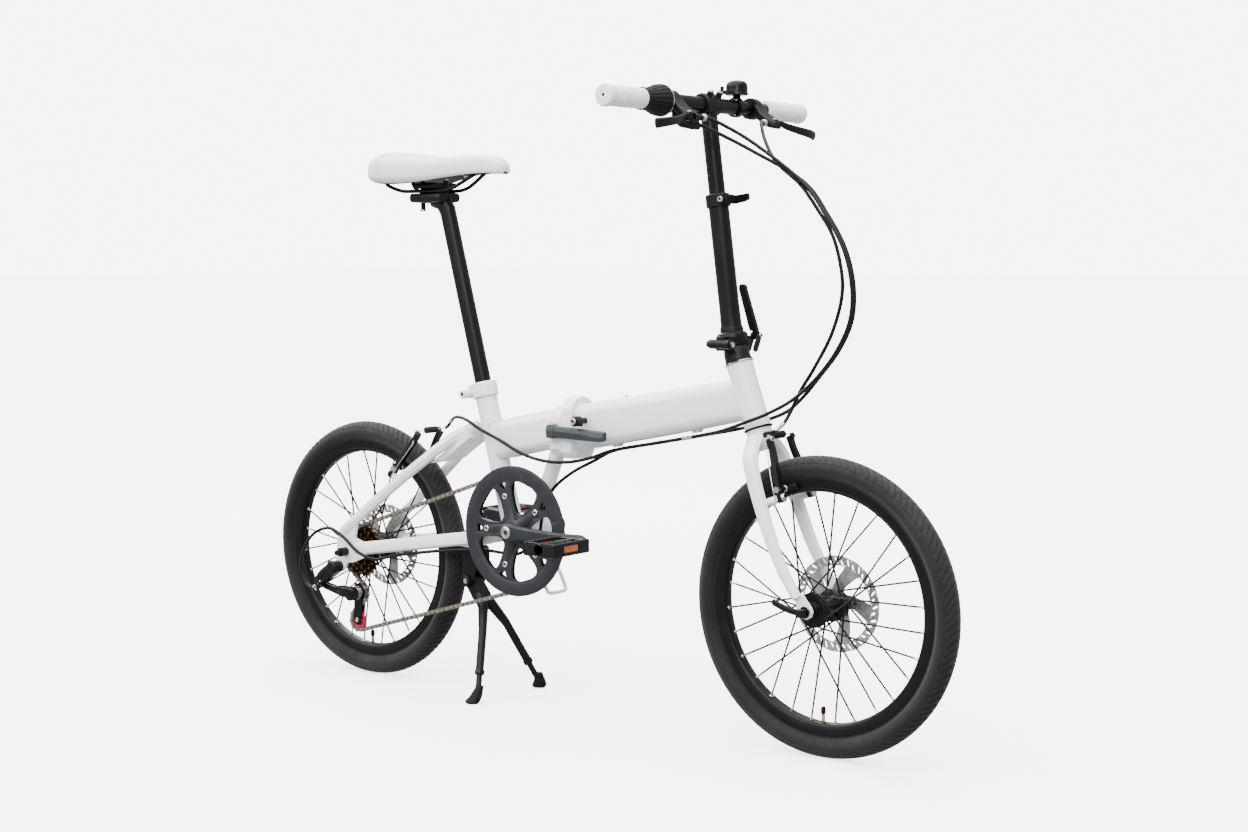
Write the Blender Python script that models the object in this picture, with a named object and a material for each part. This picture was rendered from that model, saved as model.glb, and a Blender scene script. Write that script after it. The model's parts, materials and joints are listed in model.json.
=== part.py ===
"""Folding bicycle with 20-inch wheels, one closed body per node.

X points forward, Y to the bike's left and Z up; sizes are in metres.
"""
import math

import bmesh
import bpy
from mathutils import Matrix, Vector
from mathutils.geometry import tessellate_polygon

# driving dimensions (metres)
WHEEL_R = 0.2475        # outside radius of the tyre
HALF_BASE = 0.524       # half of the wheelbase
RIM_OUT, RIM_IN = 0.2105, 0.189
BB = Vector((-0.104, 0.0, 0.322))
CRANK = 0.182
CHAIN_Y = -0.0414       # plane of the chain
RING_TEETH, COG_TEETH, JOCKEY_TEETH = 52, 20, 10
BOLT_CIRCLE = 0.065     # radius of the chainring's bolt circle
SPOKES = 28             # to a wheel
HEAD_TOP = Vector((0.3544, 0.0, 0.638))
HEAD_ANGLE = 70.0
HEAD_LEN = 0.112
POST_FOOT = Vector((0.3415, 0.0, 0.6705))
POST_SLOPE = 0.135      # how far the post leans back per metre of height
POST_PIN = Vector((0.3415, -0.0365, 0.6705))
BAR = Vector((0.288, 0.0, 1.066))
BAR_HALF = 0.276
SEAT_TOP = Vector((-0.2165, 0.0, 0.556))
SEAT_SLOPE = 0.2733
FOLD_PIN = Vector((-0.006, 0.040, 0.510))
LATCH_PIN = Vector((-0.020, -0.0455, 0.507))
CATCH_PIN = Vector((0.044, -0.036, 0.5285))
STAND_PIN = Vector((-0.2535, 0.0, 0.212))
HANGER = Vector((-0.5427, 0.0, 0.217))          # where the gear mechanism bolts on
GAP = 0.0004
SEG = 18                # sides of a tube

FRONT_HUB = Vector((HALF_BASE, 0.0, WHEEL_R))
REAR_HUB = Vector((-HALF_BASE, 0.0, WHEEL_R))
HA = math.radians(HEAD_ANGLE)
STEER = Vector((-math.cos(HA), 0.0, math.sin(HA)))       # up the steering axis
STEER_N = Vector((math.sin(HA), 0.0, math.cos(HA)))      # forward, square to it
POST = Vector((-POST_SLOPE, 0.0, 1.0)).normalized()
SEAT = Vector((-SEAT_SLOPE, 0.0, 1.0)).normalized()
STAY = Vector((0.58, 0.0, 0.8146)).normalized()          # rear hub outwards to the brake
STAY_N = Vector((-STAY.z, 0.0, STAY.x))
X, Y, Z = Vector((1, 0, 0)), Vector((0, 1, 0)), Vector((0, 0, 1))
ORIGIN = Vector((0, 0, 0))

PAINT = {
    "white": ((0.86, 0.87, 0.88), 0.0, 0.28), "black": ((0.012, 0.012, 0.013), 0.0, 0.42),
    "satin": ((0.03, 0.031, 0.034), 0.4, 0.38), "rubber": ((0.02, 0.02, 0.02), 0.0, 0.8),
    "steel": ((0.62, 0.62, 0.63), 1.0, 0.3), "latch": ((0.07, 0.08, 0.1), 0.3, 0.4),
    "pale": ((0.84, 0.84, 0.85), 0.0, 0.6), "chain": ((0.5, 0.46, 0.38), 1.0, 0.35),
    "gold": ((0.28, 0.17, 0.07), 1.0, 0.4), "red": ((0.35, 0.01, 0.04), 0.0, 0.3),
}

for old in list(bpy.data.objects):
    bpy.data.objects.remove(old, do_unlink=True)


def solid(name, verts, faces):
    """A mesh object from points and faces, welded and with its faces turned outwards."""
    mesh = bpy.data.meshes.new(name)
    mesh.from_pydata([tuple(v) for v in verts], [], [tuple(f) for f in faces])
    bm = bmesh.new()
    bm.from_mesh(mesh)
    bmesh.ops.remove_doubles(bm, verts=bm.verts, dist=1e-7)
    bmesh.ops.recalc_face_normals(bm, faces=bm.faces)
    bm.to_mesh(mesh)
    bm.free()
    obj = bpy.data.objects.new(name, mesh)
    bpy.context.scene.collection.objects.link(obj)
    return obj


def side_axes(axis):
    """Two unit vectors square to an axis."""
    axis = axis.normalized()
    u = (Y if abs(axis.y) < 0.9 else Z).cross(axis).normalized()
    return u, axis.cross(u)


def loft(name, rings, closed=False):
    """Skin between rings of points; the ends are capped unless the rings close on themselves."""
    n, verts, faces = len(rings[0]), [p for r in rings for p in r], []
    for i in range(len(rings) if closed else len(rings) - 1):
        a, b = i * n, (i + 1) % len(rings) * n
        faces += [(a + k, a + (k + 1) % n, b + (k + 1) % n, b + k) for k in range(n)]
    if not closed:
        faces += [tuple(range(n - 1, -1, -1)), tuple((len(rings) - 1) * n + k for k in range(n))]
    return solid(name, verts, faces)


def lathe(name, profile, origin, axis, seg=16, turn=0.0):
    """Turn a closed profile of (radius, height) points about an axis."""
    u, v = side_axes(axis)
    axis, verts, rows, faces = axis.normalized(), [], [], []
    for r, h in profile:
        base = origin + axis * h
        if r < 1e-9:
            rows.append([len(verts)] * seg)
            verts.append(base)
        else:
            rows.append(list(range(len(verts), len(verts) + seg)))
            angles = [turn + 2 * math.pi * k / seg for k in range(seg)]
            verts += [base + u * (r * math.cos(a)) + v * (r * math.sin(a)) for a in angles]
    for a, b in zip(rows, rows[1:] + rows[:1]):
        for k in range(seg):
            quad = [a[k], a[(k + 1) % seg], b[(k + 1) % seg], b[k]]
            face = list(dict.fromkeys(quad))
            if len(face) > 2:
                faces.append(face)
    return solid(name, verts, faces)


def rod(name, a, b, r, seg=10, r2=None):
    """A round rod from a to b."""
    a, b = Vector(a), Vector(b)
    h = (b - a).length
    return lathe(name, [(0, 0), (r, 0), (r2 or r, h), (0, h)], a, b - a, seg)


def plate(name, loops, origin, u, v, depth):
    """Push a flat outline, with holes, along u x v: depth = (from, to)."""
    w, flat = u.cross(v).normalized(), [p for loop in loops for p in loop]
    tris = tessellate_polygon([[Vector((p[0], p[1], 0)) for p in loop] for loop in loops])
    n, faces, start = len(flat), [], 0
    verts = [origin + u * p[0] + v * p[1] + w * d for d in depth for p in flat]
    faces += [tuple(reversed(t)) for t in tris] + [tuple(i + n for i in t) for t in tris]
    for loop in loops:
        m = len(loop)
        faces += [(start + k, start + (k + 1) % m, start + (k + 1) % m + n, start + k + n)
                  for k in range(m)]
        start += m
    return solid(name, verts, faces)


def box(name, lo, hi):
    """A box between two corners."""
    (x0, y0, z0), (x1, y1, z1) = lo, hi
    rings = [[Vector((x, y0, z0)), Vector((x, y1, z0)), Vector((x, y1, z1)), Vector((x, y0, z1))]
             for x in (x0, x1)]
    return loft(name, rings)


def circle(r, n, cx=0.0, cy=0.0, turn=0.0):
    """Points round a circle."""
    return [(cx + r * math.cos(turn + 2 * math.pi * k / n), cy + r * math.sin(turn + 2 * math.pi * k / n))
            for k in range(n)]


def rounded(w, h, r, k=3):
    """Outline of a rounded rectangle, k points to a corner."""
    out = []
    for i, (sx, sy) in enumerate(((1, 1), (-1, 1), (-1, -1), (1, -1))):
        for j in range(k):
            a = math.pi / 2 * (i + j / (k - 1))
            out.append((sx * (w / 2 - r) + r * math.cos(a), sy * (h / 2 - r) + r * math.sin(a)))
    return out


def capsule(a, b, ra, rb, n=5):
    """Outline round two circles, joined by their tangents."""
    a, b = Vector(a), Vector(b)
    d = math.atan2(b.y - a.y, b.x - a.x)
    t = math.acos(max(-1, min(1, (ra - rb) / (b - a).length)))
    out = [(b.x + rb * math.cos(d - t + 2 * t * k / n), b.y + rb * math.sin(d - t + 2 * t * k / n))
           for k in range(n + 1)]
    s = 2 * math.pi - 2 * t
    return out + [(a.x + ra * math.cos(d + t + s * k / n), a.y + ra * math.sin(d + t + s * k / n))
                  for k in range(n + 1)]


def curve(points, steps=4):
    """A smooth line through route points (Catmull-Rom)."""
    p = [Vector(q) for q in points]
    p = [2 * p[0] - p[1]] + p + [2 * p[-1] - p[-2]]
    out = []
    for i in range(1, len(p) - 2):
        for j in range(steps):
            t = j / steps
            out.append(0.5 * ((2 * p[i]) + (p[i + 1] - p[i - 1]) * t
                              + (2 * p[i - 1] - 5 * p[i] + 4 * p[i + 1] - p[i + 2]) * t * t
                              + (3 * p[i] - p[i - 1] - 3 * p[i + 1] + p[i + 2]) * t ** 3))
    return out + [p[-2]]


def sweep(name, path, size, n=10, hint=Y, closed=False):
    """Carry an oval along a path; size(t) gives its half-sizes square to and along the hint."""
    path, rings, last = [Vector(p) for p in path], [], Vector(hint)
    m = len(path)
    for i, p in enumerate(path):
        if closed:
            d = path[(i + 1) % m] - path[i - 1]
        else:
            d = path[min(i + 1, m - 1)] - path[max(i - 1, 0)]
        d.normalize()
        last = (last - d * last.dot(d)).normalized()
        side = last.cross(d)
        a, b = size(i / (m - 1))
        rings.append([p + side * (a * math.cos(2 * math.pi * k / n))
                      + last * (b * math.sin(2 * math.pi * k / n))
                      for k in range(n)])
    return loft(name, rings, closed)


def wire(name, points, r, n=8, steps=4, hint=Y, closed=False):
    """A bent wire of one thickness."""
    return sweep(name, curve(points, steps), lambda t: (r, r), n, hint, closed)


def triangulate(obj):
    """Split all faces into triangles."""
    bm = bmesh.new()
    bm.from_mesh(obj.data)
    bmesh.ops.triangulate(bm, faces=bm.faces)
    bm.to_mesh(obj.data)
    bm.free()


def combine(target, others, operation):
    """Join or cut a solid with others, exactly, and drop the tools."""
    triangulate(target)
    for other in others:
        triangulate(other)
        mod = target.modifiers.new("op", "BOOLEAN")
        mod.operation, mod.solver, mod.object = operation, "EXACT", other
        graph = bpy.context.evaluated_depsgraph_get()
        mesh = bpy.data.meshes.new_from_object(target.evaluated_get(graph))
        target.modifiers.clear()
        target.data = mesh
        bpy.data.objects.remove(other, do_unlink=True)
    bm = bmesh.new()
    bm.from_mesh(target.data)
    bmesh.ops.remove_doubles(bm, verts=bm.verts, dist=2e-6)
    bmesh.ops.dissolve_degenerate(bm, edges=bm.edges, dist=2e-6)
    bmesh.ops.dissolve_limit(bm, angle_limit=math.radians(0.6), verts=bm.verts, edges=bm.edges)
    bmesh.ops.triangulate(bm, faces=bm.faces)
    bmesh.ops.recalc_face_normals(bm, faces=bm.faces)
    bm.to_mesh(target.data)
    bm.free()
    return target


def join(target, *others):
    """Make one solid of several that overlap."""
    return combine(target, others, "UNION")


def cut(target, *others):
    """Take solids away from a solid."""
    return combine(target, others, "DIFFERENCE")


def finish(obj, paint, pivot=(0, 0, 0), smooth=True):
    """Give a node its material, and its origin on the axis it turns about."""
    colour, metal, rough = PAINT[paint]
    mat = bpy.data.materials.new(obj.name)
    mat.use_nodes = True
    shader = mat.node_tree.nodes["Principled BSDF"]
    shader.inputs["Base Color"].default_value = (*colour, 1)
    shader.inputs["Metallic"].default_value = metal
    shader.inputs["Roughness"].default_value = rough
    obj.data.materials.clear()
    obj.data.materials.append(mat)
    obj.data.transform(Matrix.Translation(-Vector(pivot)))
    obj.location = Vector(pivot)
    if smooth:
        obj.data.set_sharp_from_angle(angle=math.radians(38))
        obj.data.polygons.foreach_set("use_smooth", [True] * len(obj.data.polygons))
    return obj


def mirror_y(points):
    """The same points on the bike's other side."""
    return [(p[0], -p[1], p[2]) for p in points]


def steer(s, e, y=0.0):
    """A point by its height along the steering axis and its distance ahead of it."""
    return HEAD_TOP + STEER * s + STEER_N * e + Y * y


def seat_at(s, e=0.0, y=0.0):
    """A point by its height along the seat tube above its top edge, and its distance ahead of it."""
    return SEAT_TOP + SEAT * s + Vector((SEAT.z, 0, -SEAT.x)) * e + Y * y


# ---------------------------------------------------------------- rear half of the frame
def yz_rings(stations, k=3):
    """Rounded rectangles square to X from (x, centre z, width, height, corner)."""
    return [[Vector((x, p[0], z + p[1])) for p in rounded(w, h, r, k)] for x, z, w, h, r in stations]


def hinge_plate(name, x0, x1, z0, z1, crown):
    """A thick hinge plate with a domed top, its free side to the right."""
    w, yc = 0.033, -0.003
    out = [(yc + w * math.cos(a), z1 - crown + crown * math.sin(a))
           for a in [math.pi * k / 8 for k in range(9)]]
    out += [(yc - w, z0 + 0.012), (yc - w + 0.010, z0), (yc + w - 0.010, z0), (yc + w, z0 + 0.012)]
    return plate(name, [out], ORIGIN, Y, Z, (x0, x1))


def knuckles(spans, side):
    """Hinge knuckles round the fold pin with the webs that carry them; side -1 rear, +1 front."""
    out = []
    for z0, z1 in spans:
        out.append(lathe("k", [(0, 0), (0.0085, 0), (0.0085, z1 - z0), (0, z1 - z0)],
                         Vector((FOLD_PIN.x, FOLD_PIN.y, z0)), Z, 12))
        xs = sorted((FOLD_PIN.x + side * 0.0006, FOLD_PIN.x + side * 0.016))
        out.append(box("k", (xs[0], 0.0243, z0), (xs[1], 0.0389, z1)))
    return out


def pin_bore():
    """The hole for the frame's fold pin."""
    return rod("bore", (FOLD_PIN.x, FOLD_PIN.y, 0.44), (FOLD_PIN.x, FOLD_PIN.y, 0.59), 0.0047, 12)


rear = lathe("rear_frame", [(0, -0.283), (0.0195, -0.283), (0.0195, 0), (0, 0)], SEAT_TOP, SEAT, SEG)
beam = loft("beam", yz_rings([(-0.188, 0.4765, 0.026, 0.050, 0.010),
                              (-0.172, 0.480, 0.046, 0.070, 0.016),
                              (-0.150, 0.4845, 0.053, 0.073, 0.019),
                              (-0.080, 0.500, 0.054, 0.072, 0.020),
                              (-0.012, 0.513, 0.054, 0.072, 0.020)], 4))
shell = lathe("shell", [(0, -0.034), (0.0205, -0.034), (0.0205, 0.034), (0, 0.034)], BB, Y, 20)
strut = sweep("strut", [(-0.030, 0, 0.486), (-0.046, 0, 0.458), (-0.098, 0, 0.332)],
              lambda t: (0.014, 0.0135), 10)
rear_plate = hinge_plate("plate", -0.030, FOLD_PIN.x - GAP, 0.463, 0.552, 0.024)
web = plate("web", [[(-0.150, 0.300), (-0.104, 0.305), (-0.104, 0.338), (-0.160, 0.350)]],
            ORIGIN, X, Z, (-0.012, 0.012))
lugs = [plate("lug", [capsule((LATCH_PIN.x, -0.032), (LATCH_PIN.x, LATCH_PIN.y), 0.007, 0.006)],
              Vector((0, 0, z)), X, Y, (0, 0.004)) for z in (0.4902, 0.5195)]
latch_pin = rod("pin", (LATCH_PIN.x, LATCH_PIN.y, 0.491), (LATCH_PIN.x, LATCH_PIN.y, 0.523), 0.003, 10)
rear = join(rear, beam, shell, strut, rear_plate, web, *knuckles([(0.468, 0.4950), (0.5290, 0.5500)], -1),
            *lugs, latch_pin)
rear = cut(rear, rod("bore", seat_at(-0.30), seat_at(0.02), 0.0156, SEG),
           rod("bore", (BB.x, -0.05, BB.z), (BB.x, 0.05, BB.z), 0.0135, 20), pin_bore())
finish(rear, "white")

pin = lathe("frame_fold_pin", [(0, 0.4590), (0.0064, 0.4590), (0.0064, 0.4672), (0.0040, 0.4672),
                               (0.0040, 0.5508), (0.0064, 0.5508), (0.0064, 0.5560), (0, 0.5560)],
            Vector((FOLD_PIN.x, FOLD_PIN.y, 0)), Z, 12)
finish(pin, "steel", FOLD_PIN)


# ---------------------------------------------------------------- stays, dropouts, stand bracket, hoop
def stay_side(s):
    """One side's stays, dropout and brake boss; s is the side, -1 right."""
    chain = sweep("cs", curve([(-0.160, s * 0.014, 0.307), (-0.196, s * 0.0268, 0.3005),
                               (-0.262, s * 0.0345, 0.291), (-0.34, s * 0.0455, 0.2785),
                               (-0.43, s * 0.0575, 0.2645), (-0.500, s * 0.0650, 0.254)], 2),
                  lambda t: (0.0125, 0.0078), 8)
    seat = sweep("ss", curve([(-0.226, s * 0.010, 0.503), (-0.262, s * 0.0235, 0.487),
                              (-0.310, s * 0.0415, 0.4525), (-0.40, s * 0.0580, 0.385),
                              (-0.505, s * 0.0652, 0.3065), (-0.527, s * 0.0655, 0.290)], 2),
                 lambda t: (0.0105, 0.0095 - 0.0012 * t), 8)
    tip = [(-0.495, 0.300), (-0.517, 0.309), (-0.541, 0.290), (-0.549, 0.262), (-0.548, 0.240),
           (-0.530, 0.226), (-0.505, 0.228), (-0.474, 0.240), (-0.474, 0.268), (-0.500, 0.276)]
    if s < 0:
        tip[4:6] = [(-0.552, 0.240), (-0.556, 0.222), (-0.551, 0.209), (-0.538, 0.207), (-0.528, 0.214),
                    (-0.522, 0.226)]
    drop = plate("drop", [tip], ORIGIN, X, Z, sorted((-s * 0.0625, -s * 0.0680)))
    base = REAR_HUB + STAY * 0.187 + STAY_N * -0.024 + Y * (s * 0.0465)
    boss = rod("boss", base, REAR_HUB + STAY * 0.187 + STAY_N * 0.0002 + Y * (s * 0.0435), 0.0065, 10)
    stud = rod("stud", REAR_HUB + STAY * 0.187 + STAY_N * -0.004 + Y * (s * 0.0435),
               REAR_HUB + STAY * 0.187 + STAY_N * 0.0102 + Y * (s * 0.0435), 0.0038, 10)
    return [chain, seat, drop, boss, stud]


def shell_room():
    """Room round the bottom bracket shell."""
    r = 0.0205 + GAP
    return lathe("clear", [(0, -0.05), (r, -0.05), (r, 0.05), (0, 0.05)], BB, Y, 20)


right, left = stay_side(-1), stay_side(1)
yoke = box("yoke", (-0.182, -0.020, 0.296), (-0.150, 0.020, 0.312))
bridge = box("bridge", (-0.262, -0.030, 0.2780), (-0.232, 0.030, 0.2900))
gusset = plate("gusset", [[(-0.232, 0.482), (-0.300, 0.436), (-0.332, 0.428), (-0.300, 0.450),
                           (-0.240, 0.500)]],
               ORIGIN, X, Z, (-0.030, 0.030))
stays = join(right[0], *right[1:], yoke, bridge, gusset, *left)
stays.name = "rear_stays"
axle_holes = [rod("axle", REAR_HUB + Y * (s * 0.05), REAR_HUB + Y * (s * 0.08), 0.0056, 12)
              for s in (-1, 1)]
stays = cut(stays, rod("clear", seat_at(-0.35), seat_at(0.05), 0.0195 + GAP, SEG), shell_room(),
            box("clear", (-0.161, -0.0125, 0.28), (-0.09, 0.0125, 0.36)), *axle_holes,
            rod("hang", HANGER - Y * 0.05, HANGER - Y * 0.08, 0.0046, 10))
finish(stays, "white")

hoop = wire("wire_hoop", [(-0.099, -0.024, 0.2995), (-0.090, -0.025, 0.290), (-0.066, -0.026, 0.250),
                          (-0.049, -0.0255, 0.218), (-0.045, -0.020, 0.2118), (-0.045, 0.0, 0.2110),
                          (-0.045, 0.020, 0.2118), (-0.049, 0.0255, 0.218), (-0.066, 0.026, 0.250),
                          (-0.090, 0.025, 0.290), (-0.099, 0.024, 0.2995)],
            0.0034, 6, 2)
hoop = cut(hoop, shell_room())
finish(hoop, "white")

bracket = plate("stand_bracket", [rounded(0.040, 0.034, 0.008)], Vector((-0.2465, 0, 0.2605)), X, Z,
                (-0.017, 0.017))
cheeks = [plate("cheek", [capsule((-0.2475, 0.250), (STAND_PIN.x, STAND_PIN.z), 0.016, 0.0125)],
                ORIGIN, X, Z, sorted((y, y + 0.0055 * (1 if y > 0 else -1))))
          for y in (-0.0125, 0.0125)]
stand_pin = rod("pin", STAND_PIN - Y * 0.0195, STAND_PIN + Y * 0.0195, 0.0045, 12)
bracket = join(bracket, *cheeks, stand_pin)
finish(bracket, "black")


def leg(s, foot, fork):
    """One leg of the stand, stepping down to its sliding end, with its foot."""
    a, b = Vector(fork), Vector(foot)
    step = a.lerp(b, 0.66)
    upper = rod("leg", a, step, 0.0080, 12, 0.0078)
    lower = rod("leg", a.lerp(b, 0.6), b, 0.0056, 10)
    ring = [[Vector((b.x + dx + p[0], b.y + s * dy + p[1], z))
             for p in rounded(w, h, min(w, h) * 0.49)]
            for z, w, h, dx, dy in ((0.0, 0.024, 0.020, -0.008, 0.006),
                                    (0.004, 0.030, 0.024, -0.008, 0.006),
                                    (0.0125, 0.024, 0.021, -0.003, 0.002),
                                    (0.0312, 0.0146, 0.0138, 0.0007, -0.0055))]
    return [upper, lower, loft("foot", ring)]


legs = plate("stand_legs", [capsule((STAND_PIN.x, STAND_PIN.z), (-0.2300, 0.1810), 0.0118, 0.0125)],
             ORIGIN, X, Z, (-0.0120, 0.0120))
crotch = sweep("crotch", [(-0.2330, -0.004, 0.1860), (-0.2190, -0.010, 0.1650),
                          (-0.2060, -0.026, 0.1300)],
               lambda t: (0.0125 - 0.0045 * t, 0.0125 - 0.0045 * t), 10)
crotch2 = sweep("crotch", [(-0.2330, 0.004, 0.1860), (-0.2180, 0.014, 0.1650), (-0.2030, 0.036, 0.1300)],
                lambda t: (0.0125 - 0.0045 * t, 0.0125 - 0.0045 * t), 10)
legs = join(legs, crotch, crotch2, *leg(-1, (-0.1790, -0.0700, 0.010), (-0.2080, -0.0225, 0.1370)),
            *leg(1, (-0.1720, 0.0960, 0.010), (-0.2045, 0.0320, 0.1370)))
legs = cut(legs, rod("bore", STAND_PIN - Y * 0.03, STAND_PIN + Y * 0.03, 0.0051, 12))
finish(legs, "black", STAND_PIN)

# ---------------------------------------------------------------- seat
ring = lathe("seat_collar", [(0, 0.0006), (0.0232, 0.0006), (0.0238, 0.004), (0.0238, 0.024),
                             (0.0225, 0.0275), (0, 0.0275)],
             SEAT_TOP, SEAT, SEG)
ear = lathe("ear", [(0, -0.034), (0.0070, -0.034), (0.0085, -0.031), (0.0085, 0.031), (0.0070, 0.034),
                    (0, 0.034)],
            seat_at(0.0135, -0.0275), Y, 12)
web = box("web", (-0.250, -0.012, 0.5585), (-0.215, 0.012, 0.5765))
collar = join(ring, ear, web)
collar = cut(collar, rod("bore", seat_at(-0.05), seat_at(0.08), 0.0156, SEG),
             rod("hex", seat_at(0.0135, -0.0275, -0.045), seat_at(0.0135, -0.0275, -0.029), 0.0042, 6))
finish(collar, "white")

RAIL_Z = 0.9360
post = rod("seatpost", seat_at(-0.120), seat_at(0.362), 0.0150, SEG)
neck = sweep("neck", [seat_at(0.352), seat_at(0.372, -0.004), Vector((-0.338, 0, 0.924))],
             lambda t: (0.0148 + 0.006 * t, 0.0148 + 0.002 * t), 12)
cradle = loft("cradle", yz_rings([(-0.382, 0.9235, 0.056, 0.0165, 0.006),
                                  (-0.345, 0.9225, 0.060, 0.0185, 0.006),
                                  (-0.306, 0.9235, 0.056, 0.0165, 0.006)]))
core = box("core", (-0.362, -0.0145, 0.922), (-0.318, 0.0145, 0.950))
cap = loft("cap", yz_rings([(-0.372, 0.9455, 0.056, 0.0100, 0.004),
                            (-0.345, 0.9465, 0.058, 0.0120, 0.004),
                            (-0.314, 0.9455, 0.056, 0.0100, 0.004)]))
bolts = [rod("bolt", (x, 0, 0.900), (x, 0, 0.9555), 0.0045, 10) for x in (-0.374, -0.3145)]
post = join(post, neck, cradle, core, cap, *bolts)
post = cut(post, box("slot", (-0.41, -0.05, RAIL_Z - 0.0041), (-0.27, -0.0149, RAIL_Z + 0.0041)),
           box("slot", (-0.41, 0.0149, RAIL_Z - 0.0041), (-0.27, 0.05, RAIL_Z + 0.0041)))
finish(post, "satin")

rail_half = [(-0.4380, 0.036, 0.9570), (-0.4310, 0.034, 0.9470), (-0.4080, 0.0245, 0.9375),
             (-0.3850, 0.0220, RAIL_Z), (-0.3450, 0.0220, RAIL_Z), (-0.3050, 0.0220, RAIL_Z),
             (-0.2750, 0.0200, 0.9420), (-0.2350, 0.0130, 0.9620), (-0.2170, 0.0070, 0.9705)]
rails = wire("saddle_rails", rail_half + [(-0.2130, 0, 0.9715)] + mirror_y(rail_half[::-1]),
             0.0036, 6, 2, Z)
finish(rails, "black")

# x, half width, top z, lower edge z
SADDLE = [(-0.4720, 0.030, 0.9800, 0.9620), (-0.4660, 0.052, 0.9960, 0.9545),
          (-0.4500, 0.068, 1.0060, 0.9490), (-0.4250, 0.0765, 1.0090, 0.9455),
          (-0.3950, 0.0775, 1.0080, 0.9440), (-0.3600, 0.0690, 1.0030, 0.9455),
          (-0.3250, 0.0520, 0.9990, 0.9500), (-0.2900, 0.0380, 0.9985, 0.9555),
          (-0.2500, 0.0280, 1.0000, 0.9600), (-0.2150, 0.0245, 1.0000, 0.9620),
          (-0.1900, 0.0225, 0.9965, 0.9620), (-0.1730, 0.0185, 0.9890, 0.9620),
          (-0.1640, 0.0110, 0.9780, 0.9630)]
rings = []
for x, w, top, low in SADDLE:
    h = top - low
    rise = [min(m, f * h) for m, f in ((0.020, 0.42), (0.016, 0.36), (0.0083, 0.2))]
    half = [(1.0, 0.30), (0.97, 0.58), (0.82, 0.84), (0.50, 0.97)]
    flat = [(0.50 * w, low + rise[1]), (0.90 * w, low + rise[2])]
    flat += [(a * w, low + h * b) for a, b in half]
    rings.append([Vector((x, y, z)) for y, z in [(0, low + rise[0])] + flat + [(0, top)]
                  + [(-y, z) for y, z in flat[::-1]]])
pad = loft("saddle_pad", rings)
finish(pad, "pale")
rings = []
for x, w, top, low in SADDLE[1:-1]:
    mid, edge = low + min(0.016, 0.36 * (top - low)), low + min(0.0083, 0.2 * (top - low))
    half = [(0.46 * w, mid - 0.0045), (0.78 * w, edge - 0.0040), (0.84 * w, edge - 0.0006),
            (0.50 * w, mid - 0.0006)]
    rings.append([Vector((x, y, z)) for y, z in half + [(-y, z) for y, z in half[::-1]]])
shellb = loft("saddle_base", rings)
tunnel = rails.copy()
tunnel.data = rails.data.copy()
bpy.context.scene.collection.objects.link(tunnel)
for v in tunnel.data.vertices:
    v.co += v.normal * 0.0005
base = cut(shellb, tunnel)
finish(base, "black", smooth=False)

# ---------------------------------------------------------------- front half of the frame
head = lathe("front_frame", [(0, -HEAD_LEN), (0.0222, -HEAD_LEN), (0.0228, -0.100), (0.0216, -0.086),
                             (0.0216, -0.022), (0.0226, -0.010), (0.0222, 0), (0, 0)], HEAD_TOP, STEER,
             SEG)
beam = loft("beam", yz_rings([(0.004, 0.5105, 0.054, 0.0830, 0.021),
                              (0.100, 0.5285, 0.055, 0.0810, 0.021),
                              (0.200, 0.5470, 0.054, 0.0785, 0.021),
                              (0.300, 0.5660, 0.050, 0.0750, 0.020),
                              (0.345, 0.5745, 0.044, 0.0720, 0.018),
                              (0.372, 0.5790, 0.036, 0.0640, 0.014)], 4))
front_plate = hinge_plate("plate", FOLD_PIN.x + GAP, 0.018, 0.4585, 0.568, 0.030)
guides = [loft("guide", yz_rings([(x - 0.006, z, 0.017, 0.0150, 0.004),
                                  (x + 0.006, z + 0.002, 0.017, 0.0150, 0.004)]))
          for x, z in ((0.095, 0.4895), (0.268, 0.5240))]
front = join(head, beam, front_plate, *knuckles([(0.4956, 0.5284)], 1), *guides)
front = cut(front, rod("bore", steer(-0.13, 0), steer(0.02, 0), 0.0160, SEG), pin_bore())
finish(front, "white")

lever = plate("frame_latch", [capsule((LATCH_PIN.x, LATCH_PIN.y), (0.0985, -0.0465), 0.0078, 0.0062, 5)],
              ORIGIN, X, Y, (0.4953, 0.5185))
lever = cut(lever, rod("bore", LATCH_PIN - Z * 0.03, LATCH_PIN + Z * 0.03, 0.0035, 10),
            loft("taper", yz_rings([(0.015, 0.4700, 0.06, 0.0500, 0.002),
                                    (0.12, 0.4740, 0.06, 0.0520, 0.002)])))
finish(lever, "latch", LATCH_PIN)

catch = lathe("safety_catch", [(0, -0.0245), (0.0075, -0.0245), (0.0090, -0.0225), (0.0090, -0.0085),
                               (0.0055, -0.0065), (0.0055, 0.0082), (0, 0.0082)], CATCH_PIN, Y, 12)
tab = box("tab", (0.044, -0.0585, 0.5205), (0.062, -0.0555, 0.5270))
catch = join(catch, tab)
finish(catch, "black", CATCH_PIN)

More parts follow.
